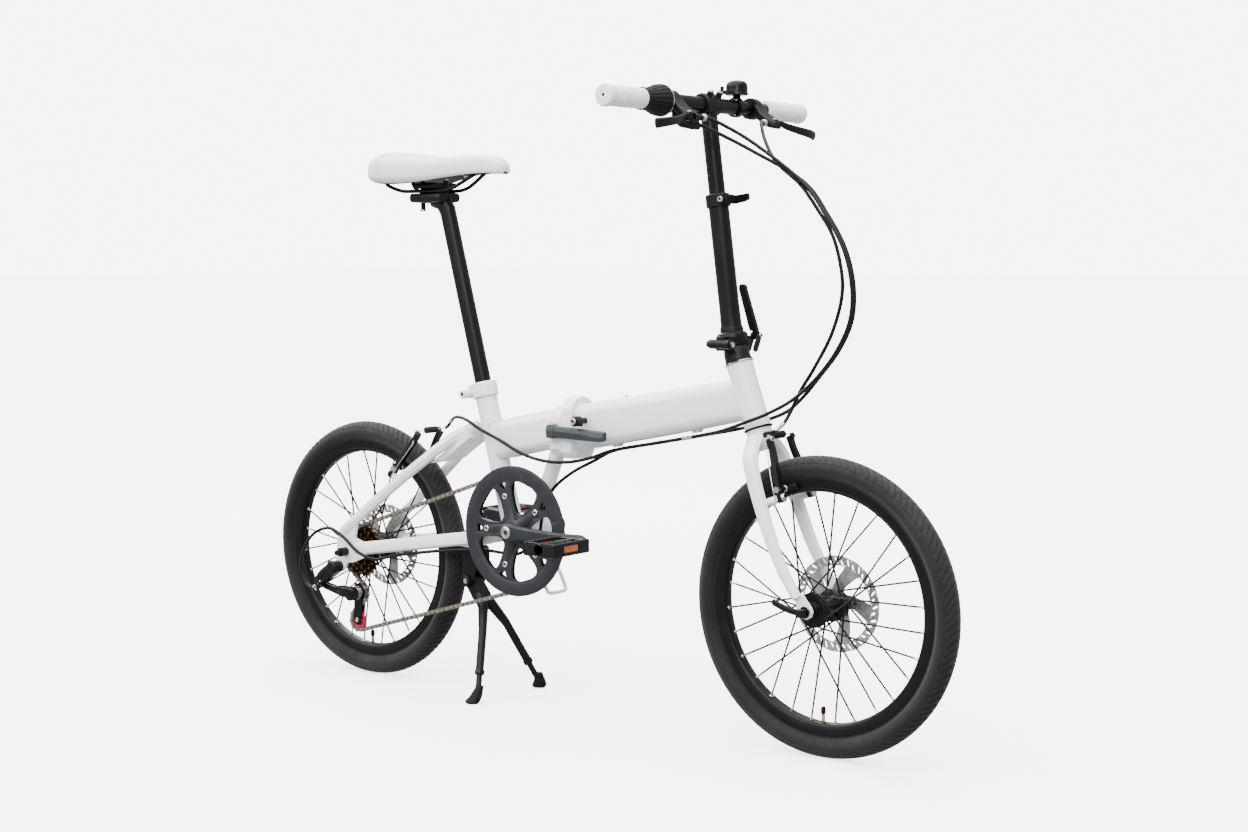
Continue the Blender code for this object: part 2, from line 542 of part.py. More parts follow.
# ---------------------------------------------------------------- fork and headset
blades = []
for s in (-1, 1):
    run = curve([steer(-0.122, 0, s * 0.008), steer(-0.135, 0, s * 0.022),
                 steer(-0.152, -0.001, s * 0.0385), steer(-0.175, -0.002, s * 0.0485),
                 steer(-0.235, -0.002, s * 0.0525), steer(-0.300, 0.000, s * 0.0545),
                 steer(-0.355, 0.007, s * 0.0560), steer(-0.4000, 0.0185, s * 0.0560)], 2)
    blades.append(sweep("blade", run, lambda t: (0.0155 - 0.0065 * max(0, t - 0.35) / 0.65,
                                                 0.0115 - 0.0038 * t), 8))
    tip = capsule((FRONT_HUB.x - 0.0125, FRONT_HUB.z + 0.020), (FRONT_HUB.x, FRONT_HUB.z), 0.0085, 0.0125)
    blades.append(plate("tip", [tip], ORIGIN, X, Z, sorted((-s * 0.0500, -s * 0.0550))))
    hub_s = FRONT_HUB + STEER * 0.187
    blades.append(rod("boss", hub_s + STEER_N * -0.030 + Y * (s * 0.0475),
                      hub_s + STEER_N * 0.0042 + Y * (s * 0.0435), 0.0065, 10))
    blades.append(rod("stud", hub_s + Y * (s * 0.0435), hub_s + STEER_N * 0.0142 + Y * (s * 0.0435),
                      0.0038, 10))
crown = lathe("fork", [(0, -0.150), (0.0120, -0.150), (0.0185, -0.138), (0.0215, -0.124),
                       (0.0215, -0.1148), (0.0148, -0.1148), (0.0148, 0.0012), (0, 0.0012)], HEAD_TOP,
              STEER, SEG)
fork = join(crown, *blades)
fork = cut(fork, rod("axle", FRONT_HUB - Y * 0.07, FRONT_HUB + Y * 0.07, 0.0056, 12))
finish(fork, "white")

# ---------------------------------------------------------------- folding handlepost
def flange(name, z0, z1, grow=0.0):
    """The oval flange on each side of the post's hinge; its pin side is to the right."""
    out = capsule((POST_FOOT.x, POST_PIN.y + 0.009), (POST_FOOT.x, 0.013),
                  0.0135 + grow, 0.0215 + grow, 6)
    return plate(name, [out], ORIGIN, X, Y, (z0, z1))


PX = POST_FOOT.x
base = lathe("post_base", [(0, 0.0018), (0.0236, 0.0018), (0.0236, 0.0045), (0.0222, 0.0055),
                           (0.0215, 0.0170), (0.0195, 0.0262), (0, 0.0262)], HEAD_TOP, STEER, SEG)
base_k = [lathe("k", [(0, x0), (0.0080, x0), (0.0080, x1), (0, x1)], POST_PIN - X * PX, X, 12)
          for x0, x1 in ((PX - 0.020, PX - 0.0085), (PX + 0.0085, PX + 0.020))]
post_pin = lathe("pin", [(0, PX - 0.0250), (0.0058, PX - 0.0250), (0.0058, PX - 0.0206),
                         (0.0034, PX - 0.0206), (0.0034, PX + 0.0206), (0.0058, PX + 0.0206),
                         (0.0058, PX + 0.0250), (0, PX + 0.0250)],
                 POST_PIN - X * PX, X, 12)
LATCH2 = Vector((0.3590, 0.0415, 0.6835))
ears = [plate("ear", [capsule((0.0300, 0.6620), (LATCH2.y, LATCH2.z), 0.0060, 0.0055)], ORIGIN,
              Y, Z, (x, x + 0.003))
        for x in (0.3505, 0.3645)]
latch_pin = rod("pin", (0.3510, LATCH2.y, LATCH2.z), (0.3670, LATCH2.y, LATCH2.z), 0.0028, 10)
skirt = flange("skirt", 0.6590, POST_FOOT.z - GAP, -0.001)
room = box("room", (PX - 0.0088, -0.060, 0.650), (PX + 0.0088, POST_PIN.y + 0.0086, 0.69))
skirt = cut(skirt, room)
base = join(base, skirt, *base_k, *ears, latch_pin)
base = join(base, post_pin)
finish(base, "black")


def post_at(h, e=0.0, y=0.0):
    """A point by its height up the post from the hinge plane."""
    return POST_FOOT + POST * h + Vector((POST.z, 0, -POST.x)) * e + Y * y


low = flange("lower_post", POST_FOOT.z + GAP, POST_FOOT.z + 0.0125)
low = cut(low, *[box("room", (x0, -0.060, 0.66), (x1, POST_PIN.y + 0.0086, 0.69))
                 for x0, x1 in ((PX - 0.03, PX - 0.0081), (PX + 0.0081, PX + 0.03))],
          box("room", (0.3495, 0.0275, 0.66), (0.3690, 0.060, 0.70)))
mid_k = lathe("k", [(0, PX - 0.0080), (0.0080, PX - 0.0080), (0.0080, PX + 0.0080), (0, PX + 0.0080)],
              POST_PIN - X * PX, X, 12)
tube = lathe("tube", [(0, 0.004), (0.0250, 0.004), (0.0265, 0.010), (0.0250, 0.0165), (0.0195, 0.0195),
                      (0.0192, 0.0265), (0.0176, 0.0300), (0.0170, 0.060), (0.0170, 0.2380), (0, 0.2380)],
             POST_FOOT, POST, SEG)
low = join(low, mid_k, tube)
low = cut(low, rod("bore", post_at(0.030), post_at(0.25), 0.0144, SEG),
          rod("bore", POST_PIN - X * 0.03, POST_PIN + X * 0.03, 0.0040, 12),
          box("under", (PX - 0.04, -0.06, 0.60), (PX + 0.04, POST_PIN.y + 0.0086, POST_FOOT.z - 0.0081)),
          *[box("room", (x0, -0.060, 0.66), (x1, POST_PIN.y + 0.0086, 0.6795))
            for x0, x1 in ((PX - 0.03, PX - 0.0081), (PX + 0.0081, PX + 0.03))])
finish(low, "black", POST_PIN)

link = plate("post_latch", [capsule((LATCH2.x, LATCH2.z), (0.3325, 0.7625), 0.0072, 0.0062)],
             ORIGIN, X, Z, (-0.0440, -0.0360))
link = cut(link, box("slot", (0.3350, 0.0300, 0.6700), (0.3542, 0.0500, 0.6905)),
           box("slot", (0.3638, 0.0300, 0.6700), (0.3800, 0.0500, 0.6945)),
           rod("bore", (0.33, LATCH2.y, LATCH2.z), (0.38, LATCH2.y, LATCH2.z), 0.0033, 10))
finish(link, "black", LATCH2)

H = 0.2280
clamp = lathe("post_collar", [(0, H + 0.0005), (0.0205, H + 0.0005), (0.0205, H + 0.0200),
                              (0.0190, H + 0.0215), (0, H + 0.0215)],
              POST_FOOT, POST, SEG)
lug = loft("lug", [[post_at(h, e, y) for e, y in ((0.010, 0.014), (0.024, 0.014), (0.024, -0.014),
                                                  (0.010, -0.014))]
                   for h in (H + 0.003, H + 0.018)])
clamp = join(clamp, lug, rod("bolt", post_at(H + 0.0105, 0.0185, -0.0190),
                             post_at(H + 0.0105, 0.0185, 0.0185), 0.0045, 10))
clamp = cut(clamp, rod("bore", post_at(H - 0.02), post_at(H + 0.0105), 0.01745, SEG),
            rod("bore", post_at(H), post_at(H + 0.04), 0.0142, SEG))
finish(clamp, "black")
CAM = post_at(H + 0.0105, 0.0185, 0.0225)
arm = loft("arm", [[CAM + POST * h + Vector((POST.z, 0, -POST.x)) * e + Y * y
                    for h, y in ((-w, y0), (w, y0), (w, y1), (-w, y1))]
                   for e, w, y0, y1 in ((0.000, 0.0065, -0.003, 0.004), (0.016, 0.0065, -0.002, 0.004),
                                        (0.034, 0.0055, -0.010, -0.005))])
cam = lathe("collar_lever", [(0, -0.0070), (0.0052, -0.0070), (0.0052, 0.0070), (0, 0.0070)],
            CAM + Y * 0.0018, POST, 12)
cam = join(cam, arm)
finish(cam, "black", CAM + Y * 0.0018)

# ---------------------------------------------------------------- handlebar
TOP_H = (BAR - POST_FOOT).dot(POST)
BAR_C = post_at(TOP_H)
upper = rod("upper_post", post_at(0.1315), post_at(TOP_H - 0.010), 0.0138, SEG)
tee = lathe("tee", [(0, -0.021), (0.0165, -0.021), (0.0190, -0.018), (0.0190, 0.018), (0.0165, 0.021),
                    (0, 0.021)], BAR_C, Y, 20)
knobs = [rod("knob", BAR_C + Vector((0.010, y, 0.010)), BAR_C + Vector((0.0165, y, 0.0205)), 0.0055, 10)
         for y in (-0.0125, 0.0125)]
upper = join(upper, tee, *knobs)
upper = cut(upper, rod("bore", BAR_C - Y * 0.05, BAR_C + Y * 0.05, 0.0132, 20))
finish(upper, "black")

bar = lathe("handlebar", [(0, -BAR_HALF + 0.003), (0.0108, -BAR_HALF + 0.003), (0.0110, -0.096),
                          (0.0127, -0.086), (0.0127, 0.086), (0.0110, 0.096),
                          (0.0108, BAR_HALF - 0.003), (0, BAR_HALF - 0.003)], BAR_C, Y, 20)
finish(bar, "satin")


def grip(name, s, y0):
    """A grip with a rounded, closed end; s is the side."""
    y1 = BAR_HALF
    prof = [(0.0114, y0), (0.0160, y0), (0.0165, y0 + 0.004), (0.0165, y1 - 0.016),
            (0.0178, y1 - 0.011), (0.0178, y1 - 0.004), (0.0160, y1), (0, y1), (0, y1 - 0.0025),
            (0.0114, y1 - 0.0025)]
    obj = lathe(name, prof, BAR_C, Y * s, 20)
    return finish(obj, "pale")


grip("grip_right", -1, 0.1785)
grip("grip_left", 1, 0.1630)
twist = lathe("twist_shifter", [(0.0114, 0.1240), (0.0235, 0.1240), (0.0262, 0.1300), (0.0250, 0.1420),
                                (0.0205, 0.1560), (0.0182, 0.1680), (0.0186, 0.1780), (0.0114, 0.1780)],
              BAR_C, -Y, SEG)
finish(twist, "black", BAR_C)


def lever_bracket(name, s, yc):
    """Clamp band, body and barrel adjuster of a brake lever; s is the side."""
    c = BAR_C
    band = lathe(name, [(0.0120, yc - 0.008), (0.0185, yc - 0.008), (0.0185, yc + 0.008),
                        (0.0120, yc + 0.008)], c, Y * s, 12)
    body = loft("body", [[c + Vector((x, s * (yc + dy), z + dz)) for dy, dz in rounded(w, h, 0.005, 3)]
                         for x, z, w, h in ((0.0150, -0.004, 0.026, 0.022),
                                            (0.0280, -0.017, 0.034, 0.018),
                                            (0.0440, -0.026, 0.036, 0.015),
                                            (0.0540, -0.0300, 0.020, 0.012))])
    tube = rod("barrel", c + Vector((0.0420, s * (yc - 0.010), -0.027)),
               c + Vector((0.0470, s * (yc - 0.034), -0.027)), 0.0052, 10)
    return [band, body, tube]


def blade(name, s, yc):
    """A brake lever blade curving out and forwards to a two-finger tip."""
    c, piv = BAR_C, BAR_C + Vector((0.0440, s * (yc + 0.0060), -0.026))
    run = [(0.0440, yc + 0.0060, -0.026), (0.0470, yc + 0.0210, -0.0262), (0.0510, yc + 0.034, -0.0305),
           (0.0580, yc + 0.058, -0.036), (0.0600, yc + 0.088, -0.040), (0.0560, yc + 0.108, -0.043)]
    pts = [c + Vector((x, s * y, z)) for x, y, z in run]
    obj = sweep(name, curve(pts, 2), lambda t: (0.0030 + 0.001 * t, 0.0044 + 0.0040 * t), 8, Z)
    eye = rod("eye", piv - Z * 0.0048, piv + Z * 0.0048, 0.0072, 10)
    return obj, eye, piv


for side, s, yc in (("right", -1, 0.1050), ("left", 1, 0.1270)):
    parts = lever_bracket("lever_bracket_" + side, s, yc)
    piv = BAR_C + Vector((0.0440, s * (yc + 0.0060), -0.026))
    if s < 0:
        pod = loft("pod", [[BAR_C + Vector((x, s * (0.094 + dy), z + dz))
                            for dy, dz in rounded(w, h, 0.006, 3)]
                           for x, z, w, h in ((0.0090, -0.0230, 0.034, 0.016),
                                              (0.0250, -0.0330, 0.044, 0.020),
                                              (0.0420, -0.0400, 0.034, 0.014))])
        parts.append(pod)
    body = join(parts[0], *parts[1:])
    slot = plate("slot", [capsule((piv.x, piv.y), (piv.x + 0.024, piv.y + s * 0.050), 0.0115, 0.020)],
                 ORIGIN, X, Y, (piv.z - 0.0054, piv.z + 0.0054))
    body = cut(body, slot)
    body = join(body, rod("pin", piv - Z * 0.0070, piv + Z * 0.0070, 0.0022, 10))
    body.name = "lever_bracket_" + side
    finish(body, "black")
    arm, eye, piv = blade("brake_lever_" + side, s, yc)
    arm = join(arm, eye)
    arm = cut(arm, rod("bore", piv - Z * 0.01, piv + Z * 0.01, 0.0027, 10))
    finish(arm, "satin", piv)

BELL = BAR_C + Vector((0.002, 0.0800, 0.0))
bell = join(lathe("bell", [(0.0136, -0.0060), (0.0168, -0.0060), (0.0168, 0.0060), (0.0136, 0.0060)],
                  BELL - X * 0.002, Y, 12),
            rod("stem", BELL + Z * 0.0145, BELL + Z * 0.024, 0.0060, 10),
            lathe("dome", [(0, 0.0200), (0.0195, 0.0200), (0.0195, 0.0235), (0.0185, 0.0250),
                           (0.0183, 0.0380), (0.0150, 0.0430), (0.0080, 0.0452), (0, 0.0455)], BELL, Z,
                  20))
finish(bell, "black")
BELL_PIN = BELL + Vector((0.006, -0.0245, 0.0240))
flick = join(rod("bell_lever", BELL_PIN - Z * 0.0035, BELL_PIN + Z * 0.0035, 0.0042, 10),
             box("thumb", tuple(BELL_PIN + Vector((-0.016, -0.0060, -0.003))),
                 tuple(BELL_PIN + Vector((0.0, 0.0000, 0.003)))),
             box("thumb", tuple(BELL_PIN + Vector((-0.018, -0.0070, -0.003))),
                 tuple(BELL_PIN + Vector((-0.014, -0.0010, 0.010)))))
finish(flick, "black", BELL_PIN)

# ---------------------------------------------------------------- wheels
ROUND = 28
SPOKE_END = 0.1900      # inside the rim's inner wall


def join_meshes(objects):
    """Put the meshes of several loose solids into the first of them."""
    graph = bmesh.new()
    for obj in objects:
        graph.from_mesh(obj.data)
    graph.to_mesh(objects[0].data)
    graph.free()
    for obj in objects[1:]:
        bpy.data.objects.remove(obj, do_unlink=True)
    return objects[0]


def wheel(side, hub, profile, flanges):
    """Tyre, rim with its spokes, and hub of one wheel; the spokes stop just short of the hub's flanges."""
    tyre = [(0.2036, 0.0080), (0.2112, 0.0096), (0.2160, 0.0180), (0.2265, 0.0225), (0.2400, 0.0170),
            (WHEEL_R, 0)]
    finish(lathe(side + "_tyre", tyre + [(r, -y) for r, y in tyre[-2::-1]], hub, Y, ROUND), "rubber", hub)
    spokes = []
    for k in range(SPOKES):
        s = 1 if k % 2 else -1
        rim_a = 2 * math.pi * (k + 0.5) / SPOKES
        lean = math.radians(58 if k % 4 < 2 else -58)
        y_hub, r_hub = flanges[s > 0]
        y_hub += 0.0016 * (1 if k % 4 < 2 else -1)
        a = hub + Vector((r_hub * math.cos(rim_a + lean), y_hub, r_hub * math.sin(rim_a + lean)))
        b = hub + Vector((SPOKE_END * math.cos(rim_a), s * 0.0030, SPOKE_END * math.sin(rim_a)))
        spokes.append(rod("spoke", a, b, 0.0012, 3))
    rim = [(RIM_IN, 0.0070), (0.1930, 0.0120), (RIM_OUT, 0.0120), (0.2030, 0.0088)]
    rim = lathe(side + "_rim", rim + [(r, -y) for r, y in rim[::-1]], hub, Y, ROUND)
    finish(join(rim, join_meshes(spokes)), "black", hub)
    finish(lathe(side + "_hub", profile, hub, Y, 16), "black", hub)


def disc(name, hub, y0):
    """Slotted brake disc."""
    holes = [circle(0.0130, 12)]
    for k in range(6):
        a0 = 2 * math.pi * k / 6
        holes.append([(r * math.cos(a0 + a), r * math.sin(a0 + a))
                      for r, a in ((0.0620, 0.14), (0.0630, 0.45), (0.0620, 0.86), (0.0300, 0.60),
                                   (0.0290, 0.30))])
    obj = plate(name, [circle(0.0800, 32)] + holes, hub, X, Z, (-y0 - 0.0020, -y0))
    return finish(obj, "steel", hub)


wheel("front", FRONT_HUB, [(0.0060, -0.0400), (0.0120, -0.0400), (0.0130, -0.0340), (0.0290, -0.0330),
                           (0.0290, -0.0290), (0.0195, -0.0260), (0.0190, 0.0180), (0.0270, 0.0210),
                           (0.0270, 0.0250), (0.0200, 0.0280), (0.0200, 0.0376), (0.0122, 0.0378),
                           (0.0122, 0.0430), (0.0060, 0.0430)],
      {False: (-0.0310, 0.0306), True: (0.0230, 0.0286)})
disc("front_disc", FRONT_HUB, 0.0382)
wheel("rear", REAR_HUB, [(0.0060, -0.0256), (0.0146, -0.0256), (0.0146, -0.0225), (0.0255, -0.0215),
                         (0.0255, -0.0170), (0.0180, -0.0140), (0.0180, 0.0250), (0.0270, 0.0275),
                         (0.0270, 0.0315), (0.0200, 0.0350), (0.0200, 0.0448), (0.0122, 0.0450),
                         (0.0122, 0.0560), (0.0060, 0.0560)],
      {False: (-0.0193, 0.0271), True: (0.0295, 0.0286)})
disc("rear_disc", REAR_HUB, 0.0454)

front = [(0, -0.0600), (0.0098, -0.0600), (0.0098, -0.0554), (0.0052, -0.0553), (0.0052, -0.0497),
         (0.0095, -0.0496), (0.0095, -0.0434), (0.0052, -0.0433), (0.0052, 0.0433), (0.0095, 0.0434),
         (0.0095, 0.0496), (0.0052, 0.0497), (0.0052, 0.0553), (0.0098, 0.0554), (0.0098, 0.0640),
         (0.0070, 0.0670), (0, 0.0670)]
finish(lathe("front_axle", front, FRONT_HUB, Y, 12), "black")
QR = FRONT_HUB - Y * 0.0690
qr = lathe("axle_lever", [(0, -0.0062), (0.0082, -0.0062), (0.0082, 0.0062), (0, 0.0062)], QR, Z, 12)
route = [QR + Vector(p) for p in ((-0.002, 0, 0), (-0.016, -0.004, 0.003), (-0.034, -0.005, 0.008),
                                  (-0.052, -0.001, 0.013))]
handle = sweep("handle", curve(route, 2), lambda t: (0.0055, 0.0034), 8)
finish(join(qr, handle), "black", QR)
back = [(0, -0.0950), (0.0050, -0.0950), (0.0050, -0.0850), (0.0088, -0.0848), (0.0088, -0.0684),
        (0.0050, -0.0683), (0.0050, -0.0592), (0.0140, -0.0590), (0.0140, -0.0268), (0.0050, -0.0266),
        (0.0050, 0.0563), (0.0092, 0.0564), (0.0092, 0.0620), (0.0050, 0.0621), (0.0050, 0.0683),
        (0.0088, 0.0684), (0.0088, 0.0800), (0.0050, 0.0802), (0.0050, 0.0880), (0, 0.0880)]
finish(lathe("rear_axle", back, REAR_HUB, Y, 12), "black")


# ---------------------------------------------------------------- cranks, chain and gears
def pitch(teeth):
    """Pitch radius of a half-inch chain wheel."""
    return 0.00635 / math.sin(math.pi / teeth)


def toothed(teeth, tip=0.0022, root=0.0030):
    """Outline of a sprocket, two points to a tooth."""
    r = pitch(teeth)
    return [p for k in range(teeth) for p in
            (circle(r - root, teeth, turn=0.0)[k], circle(r + tip, teeth, turn=math.pi / teeth)[k])]


def arm_loft(name, s, sx):
    """A crank arm from the bottom bracket out to its pedal; sx is +1 forwards."""
    rows = [(-0.0170, 0.0650, 0.0130, 0.0160), (-0.0120, 0.0650, 0.0175, 0.0270),
            (0.0, 0.0650, 0.0180, 0.0340), (0.0140, 0.0655, 0.0160, 0.0290),
            (0.0500, 0.0690, 0.0135, 0.0235), (0.1340, 0.0775, 0.0125, 0.0225),
            (0.1700, 0.0815, 0.0125, 0.0255), (CRANK, 0.0820, 0.0125, 0.0260),
            (0.1910, 0.0820, 0.0120, 0.0190), (0.1950, 0.0820, 0.0100, 0.0080)]
    return loft(name, [[Vector((BB.x + sx * x, s * y + p[0], BB.z + p[1]))
                        for p in rounded(w, h, min(w, h) * 0.35, 3)]
                       for x, y, w, h in rows])


def pedal_axle(s, sx):
    """The pedal's spindle; s is the side, sx is +1 forwards."""
    at = Vector((BB.x + sx * CRANK, 0, BB.z))
    return rod("spindle", at + Y * (s * 0.080), at + Y * (s * 0.1880), 0.0045, 10)


crank = arm_loft("crankset", -1, 1)
guard = plate("guard", [circle(0.1180, 32), circle(0.0890, 24)], BB, X, Z, (0.0500, 0.0530))
arms = []
for k in range(5):
    a = math.radians(36 + 72 * k)
    along, across = Vector((math.cos(a), 0, math.sin(a))), Vector((-math.sin(a), 0, math.cos(a)))
    shape = [(0.010, -0.0115), (0.035, -0.0085), (0.056, -0.0088), (0.074, -0.0110), (0.0925, -0.0120),
             (0.0925, 0.0120), (0.074, 0.0110), (0.056, 0.0088), (0.035, 0.0085), (0.010, 0.0115)]
    arms.append(plate("arm", [shape], BB, along, across, (0.0470, 0.0521)))
    bolt_at = BB + along * BOLT_CIRCLE
    arms.append(rod("bolt", bolt_at - Y * 0.0388, bolt_at - Y * 0.0500, 0.0045, 10))
middle = lathe("middle", [(0, 0.0455), (0.0215, 0.0455), (0.0215, 0.0545), (0.0170, 0.0600), (0, 0.0600)],
               BB, -Y, 18)
spindle = lathe("spindle", [(0, -0.0700), (0.0115, -0.0700), (0.0115, 0.0500), (0, 0.0500)], BB, -Y, 12)
crank = join(crank, middle, guard, *arms, spindle, pedal_axle(-1, 1))
finish(crank, "satin", BB)
left = cut(join(arm_loft("left_crank", 1, -1), pedal_axle(1, -1)),
           lathe("bore", [(0, 0.03), (0.0119, 0.03), (0.0119, 0.09), (0, 0.09)], BB, Y, 12))
finish(left, "satin", BB)

loops = [toothed(RING_TEETH), circle(0.0575, 24)]
loops += [circle(0.0051, 8, x, y) for x, y in circle(BOLT_CIRCLE, 5, turn=math.radians(36))]
finish(plate("chainring", loops, BB, X, Z, (-CHAIN_Y - 0.0012, -CHAIN_Y + 0.0012)), "satin", BB)

for name, s, sx in (("pedal_right", -1, 1), ("pedal_left", 1, -1)):
    at = Vector((BB.x + sx * CRANK, 0, BB.z))
    mid_y = s * 0.1460
    loops = [[(x, mid_y + y) for x, y in rounded(0.068, 0.096, 0.012)]]
    loops += [[(x + dx, mid_y + y) for x, y in rounded(0.015, 0.074, 0.004)] for dx in (-0.0205, 0.0205)]
    frame = plate(name, loops, at, X, Y, (-0.0120, 0.0120))
    barrel = lathe("barrel", [(0, 0.0935), (0.0095, 0.0935), (0.0110, 0.1000), (0.0110, 0.1935),
                              (0, 0.1935)], at, Y * s, 12)
    finish(cut(join(frame, barrel), rod("bore", at + Y * (s * 0.05), at + Y * (s * 0.1900), 0.0050, 10)),
           "black", at)

steps = [(0.0155, 0.0262)]
for i, teeth in enumerate((26, 24, 22, 20, 18, 16, 12)):
    y = -CHAIN_Y + 0.0046 * (i - 3)
    steps += [(0.0240, y - 0.0009), (pitch(teeth) + 0.0006, y - 0.0009),
              (pitch(teeth) + 0.0006, y + 0.0009), (0.0240, y + 0.0009)]
finish(lathe("freewheel", steps[:1] + [(0.0240, 0.0262)] + steps[1:]
             + [(0.0240, 0.0572), (0.0155, 0.0572)], REAR_HUB, -Y, 14),
       "gold", REAR_HUB)

JOCKEY_TOP = Vector((-0.5150, CHAIN_Y, 0.1650))
JOCKEY_LOW = Vector((-0.5180, CHAIN_Y, 0.1110))
for name, at, paint in (("jockey_upper", JOCKEY_TOP, "black"), ("jockey_lower", JOCKEY_LOW, "red")):
    finish(plate(name, [toothed(JOCKEY_TEETH, 0.0012, 0.0035), circle(0.0031, 10)], at, X, Z,
                 (-0.0016, 0.0016)), paint, at)


def belt(wheels):
    """Centre line of the chain round (centre, tip radius, turn, steps) in the order it runs."""
    out, n, legs = [], len(wheels), []
    rs = []
    for centre, tip, turn, sag in wheels:
        rs.append((tip + 0.0024) / math.cos(sag / 2))
    for i in range(n):
        (a, _, ta, _), (b, _, tb, _) = wheels[i], wheels[(i + 1) % n]
        d = Vector((b.x - a.x, b.z - a.z))
        legs.append(math.atan2(d.y, d.x) - math.asin((rs[i] * ta - rs[(i + 1) % n] * tb) / d.length))
    for i in range(n):
        centre, _, turn, sag = wheels[i]
        a0, a1 = legs[i - 1] + turn * math.pi / 2, legs[i] + turn * math.pi / 2
        sweep_by = (a0 - a1) * turn % (2 * math.pi)
        m = max(2, math.ceil(sweep_by / sag))
        out += [(centre.x + rs[i] * math.cos(a0 - turn * sweep_by * k / m),
                 centre.z + rs[i] * math.sin(a0 - turn * sweep_by * k / m))
                for k in range(m + 1)]
    return out


line = belt([(REAR_HUB, pitch(COG_TEETH) + 0.0022, 1, 0.38), (BB, pitch(RING_TEETH) + 0.0022, 1, 0.21),
             (JOCKEY_LOW, pitch(JOCKEY_TEETH) + 0.0012, 1, 0.45),
             (JOCKEY_TOP, pitch(JOCKEY_TEETH) + 0.0012, -1, 0.45)])
rings = []
for i, (px, pz) in enumerate(line):
    nxt, prv = line[(i + 1) % len(line)], line[i - 1]
    d = Vector((nxt[0] - prv[0], 0, nxt[1] - prv[1])).normalized()
    out = Vector((-d.z, 0, d.x))
    mid = Vector((px, CHAIN_Y, pz))
    rings.append([mid + out * e + Y * w for e, w in ((-0.002, -0.0027), (0.002, -0.0027),
                                                     (0.002, 0.0027), (-0.002, 0.0027))])
finish(loft("chain", rings, True), "chain", smooth=False)

body = plate("derailleur", [capsule((HANGER.x, HANGER.z), (-0.5880, 0.1860), 0.0120, 0.0100)],
             ORIGIN, X, Z, (0.0690, 0.0850))
bolt = rod("bolt", HANGER - Y * 0.0605, HANGER - Y * 0.0880, 0.0040, 10)
finish(join(body, bolt), "black")
cage = capsule((JOCKEY_TOP.x, JOCKEY_TOP.z), (JOCKEY_LOW.x, JOCKEY_LOW.z), 0.0105, 0.0095)
plates = [plate("derailleur_cage", [cage], ORIGIN, X, Z, sorted((-CHAIN_Y + d, -CHAIN_Y + d * 1.4)))
          for d in (-0.0040, 0.0040)]
pins = [rod("pin", at - Y * 0.0048, at + Y * 0.0048, 0.0025, 10) for at in (JOCKEY_TOP, JOCKEY_LOW)]
knuckle = lathe("knuckle", [(0, 0.0456), (0.0135, 0.0456), (0.0135, 0.0700), (0.0110, 0.0730),
                            (0, 0.0730)],
                Vector((JOCKEY_TOP.x, 0, JOCKEY_TOP.z)), -Y, 12)
link = capsule((-0.5600, 0.1700), (JOCKEY_TOP.x, JOCKEY_TOP.z + 0.002), 0.0055, 0.0100)
links = plate("links", [link], ORIGIN, X, Z, (0.0530, 0.0690))
finish(join(plates[0], plates[1], *pins, knuckle, links), "black", JOCKEY_TOP)


# ---------------------------------------------------------------- rim brakes
PAD_R = 0.2010      # the brake pads bend round the hub at this radius, on the rim's side wall


def brake_arm(name, hub, d, n, y_side, n0):
    """A long brake arm with its curved pad; d points out from the hub, n is its pivot's direction."""
    def at(y, r, e):
        return hub + d * r + n * e + Y * (y_side * y)
    shape = [(0.0490, 0.1795), (0.0500, 0.1900), (0.0480, 0.2050), (0.0425, 0.2350), (0.0350, 0.2660),
             (0.0350, 0.2840), (0.0320, 0.2865), (0.0265, 0.2865), (0.0245, 0.2830), (0.0255, 0.2640),
             (0.0310, 0.2330), (0.0360, 0.2030), (0.0370, 0.1880), (0.0385, 0.1795)]
    arm = plate(name, [[(y_side * y, r) for y, r in shape]], hub, Y, d,
                sorted(n.dot(Y.cross(d)) * (n0 + e) for e in (0, 0.009)))
    section = ((0.0134, -0.0046), (0.0143, 0.0044), (0.0215, 0.0038), (0.0230, 0.0), (0.0215, -0.0038))
    pad = loft("pad", [[at(y, (PAD_R + z) * math.cos(e / PAD_R), (PAD_R + z) * math.sin(e / PAD_R))
                        for y, z in section] for e in (-0.019, -0.003, 0.013, 0.029)])
    stem = rod("stem", at(0.020, PAD_R, n0 + 0.0045), at(0.046, PAD_R, n0 + 0.0045), 0.0032, 10)
    arm = join(arm, stem, pad)
    arm = cut(arm, rod("bore", at(0.0435, 0.187, -0.02), at(0.0435, 0.187, 0.04), 0.0043, 10))
    arm.name = name
    return finish(arm, "black", at(0.0435, 0.187, n0 + 0.0045))


for end, hub, d, n, n0 in (("front", FRONT_HUB, STEER, STEER_N, 0.0050),
                           ("rear", REAR_HUB, STAY, STAY_N, 0.0010)):
    brake_arm(end + "_brake_arm_right", hub, d, n, -1, n0)
    brake_arm(end + "_brake_arm_left", hub, d, n, 1, n0)

# ---------------------------------------------------------------- cables
# Each route is laid by hand through points read off the photo: out of the lever, down the loop in
# front of the posts, along the side of the beam and on to the brake or the gear mechanism.
LOOP = [(0.5234, 0.8817), (0.5578, 0.8261), (0.5735, 0.7677), (0.5705, 0.7138), (0.5468, 0.6654),
        (0.5094, 0.6206)]       # x and z of the loop the two rear cables share


def cable(name, casing, wire=()):
    """A cable in its casing, then its thin inner wire, as one bent body."""
    run = curve([Vector(p) for p in casing], 2)
    path = run + [Vector(p) for p in wire]
    share = (len(run) - 0.5) / (len(path) - 1)
    return finish(sweep(name, path, lambda t: (0.0025, 0.0025) if t < share else (0.0009, 0.0009), 4),
                  "black")


fb = FRONT_HUB + STEER * 0.2905 + STEER_N * 0.0095      # the top of the front brake's arms
rb = REAR_HUB + STAY * 0.2905 + STAY_N * 0.0055         # the top of the rear brake's arms

